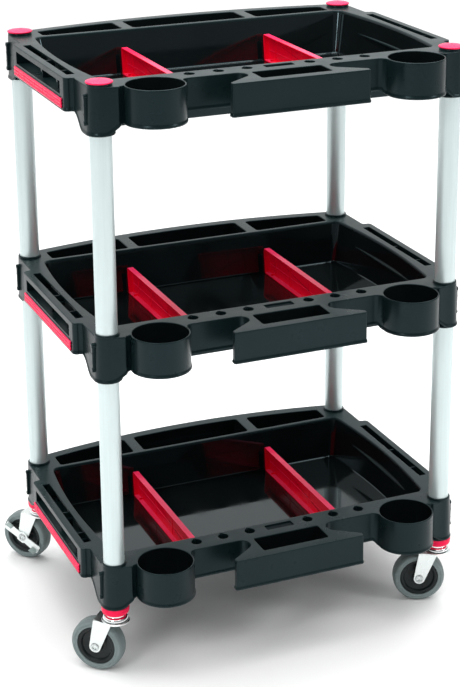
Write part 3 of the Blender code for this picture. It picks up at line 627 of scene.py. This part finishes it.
def skirt(shape):
    """The outer wall, its flared lip and its inner face, with the grip windows left open."""
    outline = tray_outline()
    steps = inward(outline)
    depths = [skirt_depth(x, y) for x, y in outline]

    def thickest(x, y):
        from_leg = math.hypot(abs(x) - LEG_X, abs(y) - LEG_Y) - POST_RADIUS
        return SHELL + (WALL - SHELL) * min(max(min(from_cup(x, y), from_leg) / 6.0, 0.0), 1.0)

    def level(inset, height, from_lip=False, inside=False):
        ring = []
        for (x, y), step, depth in zip(outline, steps, depths):
            z = height - depth if from_lip else height
            leg = max(depth - CUP_SKIRT_DEPTH, 0.0) / (FOOT_DEPTH - CUP_SKIRT_DEPTH)
            moved = min(inset, thickest(x, y)) if inside else inset
            moved += FOOT_FLARE * leg * z / FOOT_DEPTH
            ring.append((x + moved * step.x, y + moved * step.y, z))
        return ring

    upper, lower = WINDOW_Z
    rings = [level(3.1, 0.0), level(2.5, -0.2), level(2.1, -0.6), level(1.85, -1.3), level(1.75, -2.6),
             level(1.7, upper), level(1.6, lower)]
    for inset, rise in ((1.5, 7.8), (1.1, 5.6), (0.35, 4.4), (0.05, 3.2), (0.0, 2.2), (0.15, 1.0),
                        (0.7, 0.25)):
        rings.append(level(inset, rise, from_lip=True))
    for inset, rise in ((1.5, 0.0), (3.2, 0.0), (4.2, 0.9), (WALL - 0.1, 6.0)):
        rings.append(level(inset, rise, from_lip=True, inside=True))
    rings += [level(WALL, height, inside=True) for height in (lower, upper, -PLATE)]

    count = len(outline)
    first = next(index for index, point in enumerate(outline)
                 if point[0] > BULGE_X and point[1] == WINDOW_Y[0])
    spans = (first, count - 2 - first)
    outside, inside = 5, len(rings) - 3
    skip = {(band, span) for band in (outside, inside) for span in spans}
    loops = skin(shape, rings, skip)
    for span in spans:
        corners = [(outside, span), (outside, span + 1), (outside + 1, span + 1), (outside + 1, span)]
        facing = [(inside + 1, span), (inside + 1, span + 1), (inside, span + 1), (inside, span)]
        for index in range(4):
            around = [corners[index - 1], corners[index], facing[index], facing[index - 1]]
            shape.faces.new([loops[ring][point] for ring, point in around])
    return loops


def hollow(shape, ring, lip, depth, wall=2.6, draft=1.6, fillet=2.5):
    """A blind hollow and the shell that backs it; its loops in the plate's top and underside."""
    upper = [(-lip, 0.0), (-0.45 * lip, -0.15 * lip), (-0.12 * lip, -0.5 * lip), (0.0, -1.2 * lip)]
    lower = [upper[-1], (draft, -depth + fillet), (draft + 0.3 * fillet, -depth + 0.3 * fillet),
             (draft + fillet, -depth)]
    under = [(-wall, -PLATE), (draft - wall, -depth - wall + 1.2), (draft - wall + 1.2, -depth - wall)]
    top = skin(shape, [ring(inset, height) for inset, height in upper])
    inner = skin(shape, [ring(inset, height) for inset, height in lower], material=1)
    outer = skin(shape, [ring(inset, height) for inset, height in under])
    cap(shape, inner[-1], 1)
    cap(shape, outer[-1])
    return top[0], outer[0]


def through_hole(shape, ring, lip):
    """A hole through the top plate: its top and bottom loops are returned."""
    levels = [(-lip, 0.0), (-0.3 * lip, -0.3 * lip), (0.0, -lip), (0.0, -PLATE)]
    loops = skin(shape, [ring(inset, height) for inset, height in levels])
    return loops[0], loops[-1]


def well(shape):
    def draft(height):
        return -height * WELL_DRAFT / WELL_DEPTH

    lip = [(-2.4, 0.0), (-1.3, -0.3), (-0.5, -1.0), (0.1, -2.2), (draft(-5.0), -5.0)]
    top = skin(shape, [well_ring(inset, height) for inset, height in lip])
    floor = [(draft(-5.0), -5.0), (draft(-40.0), -40.0), (draft(-79.0), -79.0), (14.4, -80.8),
             (15.5, -81.7), (17.0, -82.0)]
    inner = skin(shape, [well_ring(inset, height) for inset, height in floor], material=1)
    cap(shape, inner[-1], 1)
    under = [(-PLATE, -PLATE)] + [(draft(z) - PLATE, z) for z in (-20.0, -60.0, -83.0)]
    under += [(draft(-84.0) - 3.2, -85.2), (draft(-84.0) - 1.5, -86.0)]
    outer = skin(shape, [well_ring(inset, height) for inset, height in under])
    cap(shape, outer[-1])
    return top[0], outer[0]


def sleeves(shape):
    """Under each tool hole: the sleeve that steadies a tool, and a rib behind the hole's rear notch."""
    for side in SIDES.values():
        for x in TOOL_HOLE_XS:
            centre = (side * x, TOOL_HOLE_Y)
            inner, outer = TOOL_HOLE_RADIUS + 0.3, TOOL_HOLE_RADIUS + 1.8
            turned(shape, [(inner, -3.6), (outer, -3.6), (outer, -36.0), (inner, -36.0)], 32, centre)
            rib = (side * x, TOOL_HOLE_Y + TOOL_HOLE_RADIUS + 0.6)
            turned(shape, [(0.5, -0.3), (1.0, -0.5), (1.35, -1.0), (1.5, -1.8), (1.6, -34.0)], 16, rib)


def posts(shape):
    """Round each leg: the raised collar that the tube enters, and the foot below the skirt."""
    bore = TUBE_RADIUS + 0.3
    for sx, sy in CORNERS.values():
        centre = (sx * LEG_X, sy * LEG_Y)
        turned(shape, [(bore, 3.3), (bore + 0.4, 3.8), (20.6, 3.9), (21.3, 3.5), (21.8, 2.7), (22.0, 1.6),
                       (22.1, -1.5), (21.5, -3.5), (bore, -3.5)], 48, centre)
        turned(shape, [(bore, -PLATE - 1), (21.8, -PLATE - 1), (23.4, -75.0), (23.9, -77.8), (25.0, -79.2),
                       (25.5, -80.6), (25.4, -82.0), (24.6, -82.9), (bore + 1, -83.0), (bore, -82.2)],
               48, centre)


def grip_channels(shape):
    """Behind each grip window: the finger channel's floor, ends and lip, its bosses and a rib."""
    front, rear = SIDE_SLOT[1] - 1.0, SIDE_SLOT[3] + 1.0
    low = WINDOW_Z[1] - 4.0
    for side in SIDES.values():
        def block(x0, y0, z0, x1, y1, z1, bevel=0.4):
            left, right = sorted((side * x0, side * x1))
            rounded_box(shape, (left, y0, z0), (right, y1, z1), bevel)

        block(316.8, front - 3.0, low, 366.0, rear + 3.0, low + 3.0)
        block(355.6, front, -15.0, 357.4, rear, 1.0 - PLATE)
        block(321.0, front - 3.0, low, 366.0, front, 1.0 - PLATE)
        block(321.0, rear, low, 366.0, rear + 3.0, 1.0 - PLATE)
        block(366.0, WINDOW_Y[0] - 2.0, low - 1.4, 369.6, WINDOW_Y[1] + 3.0, low + 0.2, 0.6)
        for y in (-90.0, 0.0):
            ring = circle((y, -19.0), 4.2, 18)
            rings = [[(side * x, y + (u - y) * size, -19.0 + (v + 19.0) * size) for u, v in ring]
                     for x, size in ((334.0, 1.0), (358.4, 1.0), (359.2, 0.8))]
            solid(shape, rings)
            block(334.0, y - 1.0, low + 1.0, 357.4, y + 1.0, 1.0 - PLATE)


def clips(shape):
    """A small moulded catch on each leg's side face: a bar between two knobs."""
    for sx, sy in CORNERS.values():
        y = sy * (LEG_Y - 1.5)
        low, high = sorted((sx * (SIDE_X - 2.5), sx * (SIDE_X + 4.0)))
        rounded_box(shape, (low, y - 3.0, -60.0), (high, y + 3.0, -20.0), 0.8)
        for z in (-17.5, -62.5):
            ring = circle((y, z), 4.4, 20)
            reach = (SIDE_X - 2.5, SIDE_X + 3.6, SIDE_X + 4.4, SIDE_X + 4.9)
            sizes = (1.0, 1.0, 0.88, 0.6)
            rings = [[(sx * x, y + (u - y) * size, z + (v - z) * size) for u, v in ring]
                     for x, size in zip(reach, sizes)]
            solid(shape, rings)
        for z in (-32.0, -48.0):
            rounded_box(shape, (low, y - 3.4, z - 1.2), (high, y + 3.4, z + 1.2), 0.5)


def rails(shape):
    """Pairs of ribs on the well's front and rear walls that hold each divider upright."""
    for wall_y, sign in ((WELL_Y[0] + WELL_DRAFT, -1), (WELL_Y[1] - WELL_DRAFT, 1)):
        foot, top = wall_y + sign * 2.0, wall_y + sign * 8.3
        outline = [(foot, -81.9), (top, -45.0), (top - sign * 14.0, -45.0), (foot - sign * 14.0, -81.9)]
        if sign < 0:
            outline.reverse()
        for side in SIDES.values():
            for edge in (-1, 1):
                middle = side * DIVIDER_X + edge * 8.0
                plate(shape, outline, middle - 1.4, middle + 1.4, "YZ", 0.4, material=1)


def tray_openings(shape):
    """Everything that opens in the tray's top plate, as pairs of loops in its top and underside."""
    pairs = [well(shape)]
    for span in POCKET_SPANS:
        pairs.append(hollow(shape, ring_maker(pocket_outline(span)), 1.6, POCKET_DEPTH))
    low, high = TOOL_POCKET_Y
    pocket = rounded(rectangle(-TOOL_POCKET_HALF, low, TOOL_POCKET_HALF, high), 4.0)
    pairs.append(hollow(shape, ring_maker(pocket), 1.4, TOOL_POCKET_DEPTH))
    pairs.append(through_hole(shape, ring_maker(rounded(rectangle(*TOOL_SLOT), 2.0, 3)), 0.8))
    for side in SIDES.values():
        cup = circle((side * CUP_PLACE[0], CUP_PLACE[1]), CUP_INNER, 64)
        pairs.append(hollow(shape, ring_maker(cup), 1.1, CUP_DEPTH, 2.0, 1.0, 3.0))
        x0, y0, x1, y1 = SIDE_SLOT
        slot = rectangle(x0, y0, x1, y1) if side > 0 else rectangle(-x1, y0, -x0, y1)
        pairs.append(through_hole(shape, ring_maker(rounded(slot, 1.5, 3)), 0.8))
        for x in TOOL_HOLE_XS:
            hole = arc((side * x, TOOL_HOLE_Y), TOOL_HOLE_RADIUS, 110, 430, 28)
            hole += arc((side * x, TOOL_HOLE_Y + TOOL_HOLE_RADIUS), 3.0, -10, 190, 10)
            pairs.append(through_hole(shape, ring_maker(hole), 1.0))
    for sx, sy in CORNERS.values():
        bore = circle((sx * LEG_X, sy * LEG_Y), TUBE_RADIUS + 0.6, 40)
        pairs.append(through_hole(shape, ring_maker(bore), 0.3))
    return pairs


def tray_mesh():
    shape = bmesh.new()
    loops = skirt(shape)
    pairs = tray_openings(shape)
    fill(shape, [loops[0]] + [top for top, bottom in pairs])
    fill(shape, [loops[-1]] + [bottom for top, bottom in pairs])
    bmesh.ops.remove_doubles(shape, verts=shape.verts, dist=1e-4)
    sleeves(shape)
    posts(shape)
    grip_channels(shape)
    clips(shape)
    rails(shape)
    bmesh.ops.recalc_face_normals(shape, faces=shape.faces)
    mesh = bpy.data.meshes.new("tray_shell")
    shape.to_mesh(mesh)
    shape.free()
    mesh.transform(CART @ Matrix.Scale(MM, 4))
    mesh.shade_smooth()
    mesh.set_sharp_from_angle(angle=math.radians(SHARP_ANGLE))
    mesh.materials.append(TRAY)
    mesh.materials.append(GLOSS)
    return mesh


def divider_mesh():
    """A moulded channel with a flange all round, cross ribs on its web and small feet."""
    shape = bmesh.new()
    top, foot = -30.0, -81.7
    sheet = [(-178.5, foot), (164.0, foot), (170.0, top - 5.0), (168.0, top), (-186.0, top)]
    ring = ring_maker(rounded(sheet, 1.2, 3))
    levels = [(0.7, 6.0), (0.15, 5.7), (0.0, 5.2), (0.0, -5.2), (0.15, -5.7), (0.6, -6.0), (2.3, -6.0),
              (2.8, -5.7), (3.0, -5.0), (3.2, 3.1), (3.8, 3.5)]
    solid(shape, [[(height, x, y) for x, y, height in ring(inset, height)] for inset, height in levels])
    rounded_box(shape, (2.7, -176.0, -60.6), (4.0, 161.0, -59.6), 0.3)
    for y in (-120.0, -30.0, 60.0, 130.0):
        rounded_box(shape, (2.5, y - 0.6, -79.5), (4.0, y + 0.6, -32.5), 0.3)
    for y in (-150.0, 140.0):
        rounded_box(shape, (-4.5, y - 4.0, -79.2), (3.8, y - 2.6, -74.5), 0.3)
    bmesh.ops.recalc_face_normals(shape, faces=shape.faces)
    return shape


def strip_shape(side):
    """A colour strip with three long rounded ridges."""
    shape = bmesh.new()
    low, high = STRIP_Z
    pitch = (high - low) / STRIP_RIDGES
    profile = [(STRIP_X - 0.3, low), (STRIP_X + 0.9, low)]
    for number in range(STRIP_RIDGES):
        middle = low + (number + 0.5) * pitch
        profile += [(STRIP_X + STRIP_RIDGE_RISE * math.cos(math.radians(angle)),
                     middle + 0.49 * pitch * math.sin(math.radians(angle))) for angle in range(-75, 76, 25)]
    profile += [(STRIP_X + 0.9, high), (STRIP_X - 0.3, high)]
    ring = ring_maker(profile)
    front, rear = STRIP_Y
    ends = [(0.35, front), (0.0, front + 0.5), (0.0, rear - 0.5), (0.35, rear)]
    rings = [[(side * x, y, z) for x, z, y in ring(inset, place)] for inset, place in ends]
    solid(shape, rings)
    return shape


def build_trays():
    tray = tray_mesh()
    for level in LEVELS:
        rim = RIMS[level] * MM
        seat(f"tray_{level}_shell", tray, "frame", "tray_plastic", [f"tray_{level}"], height=rim)
        raised = CART @ Matrix.Translation((0.0, 0.0, rim))
        for name, side in SIDES.items():
            node = f"divider_{level}_{name}"
            place = raised @ Matrix.Translation((side * DIVIDER_X * MM, 0.0, 0.0))
            piece(f"{node}_channel", divider_mesh(), [DIVIDER], node, "divider_plastic", [node], place)
            node = f"side_strip_{level}_{name}"
            piece(f"{node}_ridged", strip_shape(side), [TRIM], "frame", "trim_plastic", [node], raised)


# Legs

def build_legs():
    for corner, (sx, sy) in CORNERS.items():
        place = CART @ Matrix.Translation((sx * LEG_X * MM, sy * LEG_Y * MM, 0.0))
        for part in ("lower", "upper"):
            node = f"tube_{part}_{corner}"
            low, high = (corner_point.z / MM for corner_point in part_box(node))
            inner = TUBE_RADIUS - TUBE_WALL
            shape = bmesh.new()
            turned(shape, [(TUBE_RADIUS - 0.3, high), (TUBE_RADIUS, high - 0.3), (TUBE_RADIUS, low + 0.3),
                           (TUBE_RADIUS - 0.3, low), (inner, low), (inner, high)], 72)
            piece(f"{node}_drawn", shape, [TUBE], "frame", "tube_aluminium", [node], place)
        node = f"tube_cap_{corner}"
        low, high = (corner_point.z / MM for corner_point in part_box(node))
        seat_z = RIMS["top"] + COLLAR_RISE + 0.3
        shape = bmesh.new()
        radius, rise = 23.3, high - seat_z
        dome = [(radius * math.sin(math.radians(angle)), seat_z + 1.9 + (rise - 1.9)
                 * math.cos(math.radians(angle)) ** 1.3) for angle in (4, 12, 22, 34, 46, 58, 70, 80)]
        turned(shape, dome + [(radius, seat_z + 1.6), (radius - 0.1, seat_z + 0.7),
                              (radius - 0.7, seat_z), (18.7, seat_z), (18.7, low + 1), (17.7, low)], 64)
        piece(f"{node}_domed", shape, [TRIM], "frame", "trim_plastic", [node], place)


# Casters

def caster_place(corner):
    """The caster's own frame: its origin is on the floor under the leg, with +X along the trail."""
    joint = next(item for item in frame["joints"] if item["name"] == f"wheel_{corner}")
    axis = Vector(joint["axis"])
    sx, sy = CORNERS[corner]
    leg = CART @ Vector((sx * LEG_X * MM, sy * LEG_Y * MM, 0.0))
    return Matrix.Translation(leg) @ Matrix.Rotation(math.atan2(-axis.x, axis.y), 4, "Z")


def axle_place(corner):
    """The frame of a corner's wheel: its origin is the wheel's middle, with +Z along the axle."""
    return (caster_place(corner) @ Matrix.Translation((TRAIL * MM, 0.0, WHEEL_RADIUS * MM))
            @ Matrix.Rotation(-math.pi / 2, 4, "X"))


def collar_shape():
    shape = bmesh.new()
    turned(shape, [(18.6, 164.0), (18.7, 133.7), (25.1, 133.7), (25.5, 133.2), (25.5, 126.0),
                   (25.2, 123.6), (24.2, 121.4), (22.6, 119.8), (20.6, 119.0), (6.0, 119.0),
                   (6.0, 164.0)], 64)
    return shape


def race_shape():
    shape = bmesh.new()
    turned(shape, [(16.4, 118.6), (17.0, 118.1), (17.0, 115.2), (17.6, 114.4), (20.4, 113.8),
                   (22.0, 112.8), (22.6, 111.6), (23.4, 110.4), (23.5, 108.8), (22.6, 107.2),
                   (20.6, 106.1), (19.4, 105.8), (6.0, 105.8), (6.0, 118.6)], 64)
    return shape


def fork_shape():
    """A stamped fork: a raised rim round its top plate, a lip at its nose and two tapered legs."""
    shape = bmesh.new()
    nose_turn = math.degrees(math.acos((26.0 - FORK_OUTER) / (TRAIL + 4)))
    plan = arc((0.0, 0.0), 26.0, nose_turn, 360 - nose_turn, 36)
    plan += rounded([(TRAIL + 3, -FORK_OUTER), (TRAIL + 3, FORK_OUTER), (0.0, 0.0)], 3.0, 4)[:10]
    plate(shape, plan, FORK_TOP - 3.0, FORK_TOP - 0.9, "XY", 0.5)
    turned(shape, [(21.6, FORK_TOP - 1.2), (22.2, FORK_TOP - 0.3), (23.4, FORK_TOP), (24.8, FORK_TOP - 0.2),
                   (25.8, FORK_TOP - 1.0), (25.9, FORK_TOP - 2.4), (21.6, FORK_TOP - 2.4)], 56)
    eye = arc((TRAIL, WHEEL_RADIUS), 11.0, -150, 10, 18)
    side = eye + [(TRAIL + 2, FORK_TOP - 1.6), (0.0, FORK_TOP - 1.6)]
    for edge in (-1, 1):
        low, high = sorted((edge * FORK_INNER, edge * (FORK_OUTER - 0.1)))
        plate(shape, side, low, high, "XZ", 0.5)
    return shape


def axle_shape(reach):
    """The riveted axle, with three punch marks on its head."""
    shape = bmesh.new()
    start = reach - 1.5
    turned(shape, [(4.6, reach), (6.2, reach - 0.1), (7.4, reach - 0.5), (8.0, start + 0.4), (8.0, start),
                   (5.0, start), (5.0, -FORK_OUTER - 0.3), (8.0, -FORK_OUTER - 0.3),
                   (7.8, -FORK_OUTER - 1.2), (6.4, -FORK_OUTER - 1.8), (4.0, -FORK_OUTER - 2.0)], 40)
    for turn in (90, 210, 330):
        angle = math.radians(turn)
        mark = bmesh.new()
        rounded_box(mark, (2.2, -0.7, reach - 0.4), (6.0, 0.7, reach + 0.25), 0.3)
        bmesh.ops.rotate(mark, matrix=Matrix.Rotation(angle, 3, "Z"), verts=mark.verts)
        held = bpy.data.meshes.new("mark")
        mark.to_mesh(held)
        mark.free()
        shape.from_mesh(held)
        bpy.data.meshes.remove(held)
    return shape


def hub_shape():
    """A moulded hub: a boss, a dished web with a ring groove, and a rim."""
    shape = bmesh.new()
    face = [(5.3, 12.0), (10.4, 12.0), (11.4, 11.5), (12.4, 9.0), (13.6, 8.2), (17.0, 8.0), (17.8, 7.4),
            (19.0, 7.4), (19.8, 8.0), (26.4, 8.2), (28.2, 8.8), (29.8, 11.8), (30.8, 12.8), (32.0, 13.0),
            (35.4, 13.0), (36.3, 12.5), (36.7, 11.6)]
    turned(shape, face + [(radius, -height) for radius, height in reversed(face)], 72)
    return shape


def tyre_shape():
    """A solid tyre with a crowned tread, round shoulders and a fine groove at each sidewall."""
    shape = bmesh.new()
    side = [(37.0, 14.0), (37.6, 14.5), (39.0, 14.7), (41.2, 14.7), (41.6, 14.3), (42.0, 14.3),
            (42.5, 14.8), (43.6, 15.0), (45.2, 14.6), (46.7, 13.5), (48.2, 11.7), (49.3, 9.6),
            (49.85, 7.0), (50.0, 4.0)]
    turned(shape, side + [(radius, -height) for radius, height in reversed(side)], 96)
    for face in shape.faces:
        middle = face.calc_center_median()
        if math.hypot(middle.x, middle.y) < 46.5:
            face.material_index = 1
    return shape


def pedal_shape():
    """A stamped rocker about the axle, with a coated tread turned outwards at each end."""
    shape = bmesh.new()
    inner = FORK_OUTER + 0.6
    outline = []
    for end in (1, -1):
        flip = 0 if end > 0 else 180
        outline += arc((0.0, 0.0), PEDAL_EYE_RADIUS, flip - 62, flip - 38, 4)
        outline += [(end * x, end * z) for x, z in ((PEDAL_HALF - 1.8, -PEDAL_END_HALF),
                                                    (PEDAL_HALF, 1.6 - PEDAL_END_HALF),
                                                    (PEDAL_HALF, PEDAL_END_HALF - 1.6),
                                                    (PEDAL_HALF - 1.8, PEDAL_END_HALF))]
        outline += arc((0.0, 0.0), PEDAL_EYE_RADIUS, flip + 38, flip + 62, 4)
    plate(shape, outline, inner, inner + PEDAL_THICKNESS)
    for end in (-1, 1):
        reach = sorted((end * 41.0, end * 27.0))
        height = sorted((end * 6.8, end * 8.8))
        rounded_box(shape, (reach[0], inner + 0.8, height[0]), (reach[1], inner + 12.0, height[1]), 0.9)
    for face in shape.faces:
        if face.calc_center_median().y > inner + 3.0:
            face.material_index = 1
    return shape


def build_casters():
    for corner, (sx, sy) in CORNERS.items():
        upright, wheel = caster_place(corner), axle_place(corner)
        fixed = (("caster_collar", collar_shape(), COLLAR, "collar_plastic", "turned"),
                 ("caster_race", race_shape(), CHROME, "race_chrome", "stepped"))
        for stem, shape, material, slot, look in fixed:
            piece(f"{stem}_{corner}_{look}", shape, [material], "frame", slot, [f"{stem}_{corner}"],
                  upright)
        swivel = f"swivel_{corner}"
        piece(f"caster_fork_{corner}_stamped", fork_shape(), [ZINC], swivel, "zinc_plate",
              [f"caster_fork_{corner}"], upright)
        reach = FORK_OUTER + (4.5 if sy > 0 else 2.0)
        piece(f"caster_axle_{corner}_riveted", axle_shape(reach), [STEEL], swivel, "pin_steel",
              [f"caster_axle_{corner}"], wheel)
        rolling = f"wheel_{corner}"
        piece(f"wheel_hub_{corner}_moulded", hub_shape(), [HUB], rolling, "hub_plastic",
              [f"wheel_hub_{corner}"], wheel)
        piece(f"wheel_tyre_{corner}_moulded", tyre_shape(), [TYRE_TREAD, TYRE_SIDE], rolling,
              "tyre_rubber", [f"wheel_tyre_{corner}"], wheel)
        if sy > 0:
            tilt = (upright @ Matrix.Translation((TRAIL * MM, 0.0, WHEEL_RADIUS * MM))
                    @ Matrix.Rotation(-math.radians(PEDAL_ANGLE), 4, "Y"))
            piece(f"brake_pedal_{corner}_stamped", pedal_shape(), [ZINC, TREAD],
                  f"brake_pedal_{corner}", "zinc_plate", [f"brake_pedal_{corner}"], tilt)


def finish_carried_nodes():
    """Stems and brake shoes keep their CAD shape, with softened edges and real steel."""
    for node in frame["nodes"].values():
        if node.hide_render:
            continue
        node.data.materials.clear()
        node.data.materials.append(STEEL)
        edge = node.modifiers.new("edges", "BEVEL")
        edge.width = 0.3 * MM
        edge.segments = 2
        edge.limit_method = "ANGLE"


# Studio

def add_light(name, place, target, size, power):
    light = bpy.data.lights.new(name, "AREA")
    light.shape = "RECTANGLE"
    light.size, light.size_y = size
    light.energy = power
    item = bpy.data.objects.new(name, light)
    bpy.context.scene.collection.objects.link(item)
    item.location = place
    item.rotation_euler = (Vector(target) - Vector(place)).to_track_quat("-Z", "Y").to_euler()


def build_floor():
    shape = bmesh.new()
    bmesh.ops.create_grid(shape, x_segments=1, y_segments=1, size=9.0)
    mesh = bpy.data.meshes.new("floor")
    shape.to_mesh(mesh)
    shape.free()
    floor = bpy.data.objects.new("floor", mesh)
    bpy.context.scene.collection.objects.link(floor)
    paint = Surface("floor_paint", (0.93, 0.93, 0.93), 0.7)
    paint.tint(paint.mapped(paint.noise(2.0, 4.0), 0.3, 0.7, 0.0, 1.0), (0.95, 0.95, 0.95))
    mesh.materials.append(paint.material)


def build_world():
    """A white room: bright overhead and behind the cart, dimmer on the camera's side."""
    world = bpy.data.worlds.new("studio")
    bpy.context.scene.world = world
    world.use_nodes = True
    tree = world.node_tree
    backdrop = tree.nodes["Background"]
    place = tree.nodes.new("ShaderNodeTexCoord")
    split = tree.nodes.new("ShaderNodeSeparateXYZ")
    spread = tree.nodes.new("ShaderNodeMapRange")
    path = tree.nodes.new("ShaderNodeLightPath")
    mix = tree.nodes.new("ShaderNodeMix")
    overhead = tree.nodes.new("ShaderNodeMapRange")
    total = tree.nodes.new("ShaderNodeMath")
    tree.links.new(place.outputs["Generated"], split.inputs[0])
    tree.links.new(split.outputs["Y"], spread.inputs["Value"])
    tree.links.new(split.outputs["Z"], overhead.inputs["Value"])
    for socket, value in (("From Min", -0.3), ("From Max", 0.5), ("To Min", 0.22), ("To Max", 0.95)):
        spread.inputs[socket].default_value = value
    for socket, value in (("From Min", 0.55), ("From Max", 0.8), ("To Min", 0.0), ("To Max", 1.1)):
        overhead.inputs[socket].default_value = value
    tree.links.new(spread.outputs["Result"], total.inputs[0])
    tree.links.new(overhead.outputs["Result"], total.inputs[1])
    tree.links.new(path.outputs["Is Camera Ray"], mix.inputs[0])
    tree.links.new(total.outputs[0], mix.inputs[2])
    mix.inputs[3].default_value = 1.0
    tree.links.new(mix.outputs[0], backdrop.inputs["Strength"])
    backdrop.inputs["Color"].default_value = (1.0, 1.0, 1.0, 1.0)


CAMERA_PLACE = Vector((-1.2270, -2.9378, 0.6614))  # metres from the cart's middle and the top rim
CAMERA_TURN = (-22.61, 17.48, -0.51)  # degrees of azimuth, of tilt below the horizon and of roll
CAMERA_LENS = 92.97
CAMERA_SHIFT = -0.18


def build_camera():
    data = bpy.data.cameras.new("camera")
    item = bpy.data.objects.new("camera", data)
    bpy.context.scene.collection.objects.link(item)
    bpy.context.scene.camera = item
    azimuth, tilt, roll = (math.radians(value) for value in CAMERA_TURN)
    forward = Vector((-math.sin(azimuth) * math.cos(tilt), math.cos(azimuth) * math.cos(tilt),
                      -math.sin(tilt)))
    item.location = CART @ (CAMERA_PLACE + Vector((0.0, 0.0, RIMS["top"] * MM)))
    turn = forward.to_track_quat("-Z", "Y").to_matrix().to_4x4()
    item.rotation_euler = (turn @ Matrix.Rotation(roll, 4, "Z")).to_euler()
    data.lens = CAMERA_LENS
    data.shift_y = CAMERA_SHIFT
    data.clip_start = 0.05
    data.clip_end = 60.0


build_camera()
build_floor()
build_world()
add_light("key", (-2.7, -2.1, 2.6), (0.0, 0.0, 0.6), (0.8, 1.4), 32.0)
add_light("top", (0.2, 0.3, 3.4), (0.0, 0.0, 0.9), (3.2, 3.2), 85.0)
add_light("fill", (2.6, -2.4, 2.2), (0.0, 0.0, 0.6), (0.7, 1.4), 24.0)
bpy.context.scene.view_settings.view_transform = "Standard"

build_trays()
build_legs()
build_casters()
finish_carried_nodes()

bpy.context.view_layer.update()
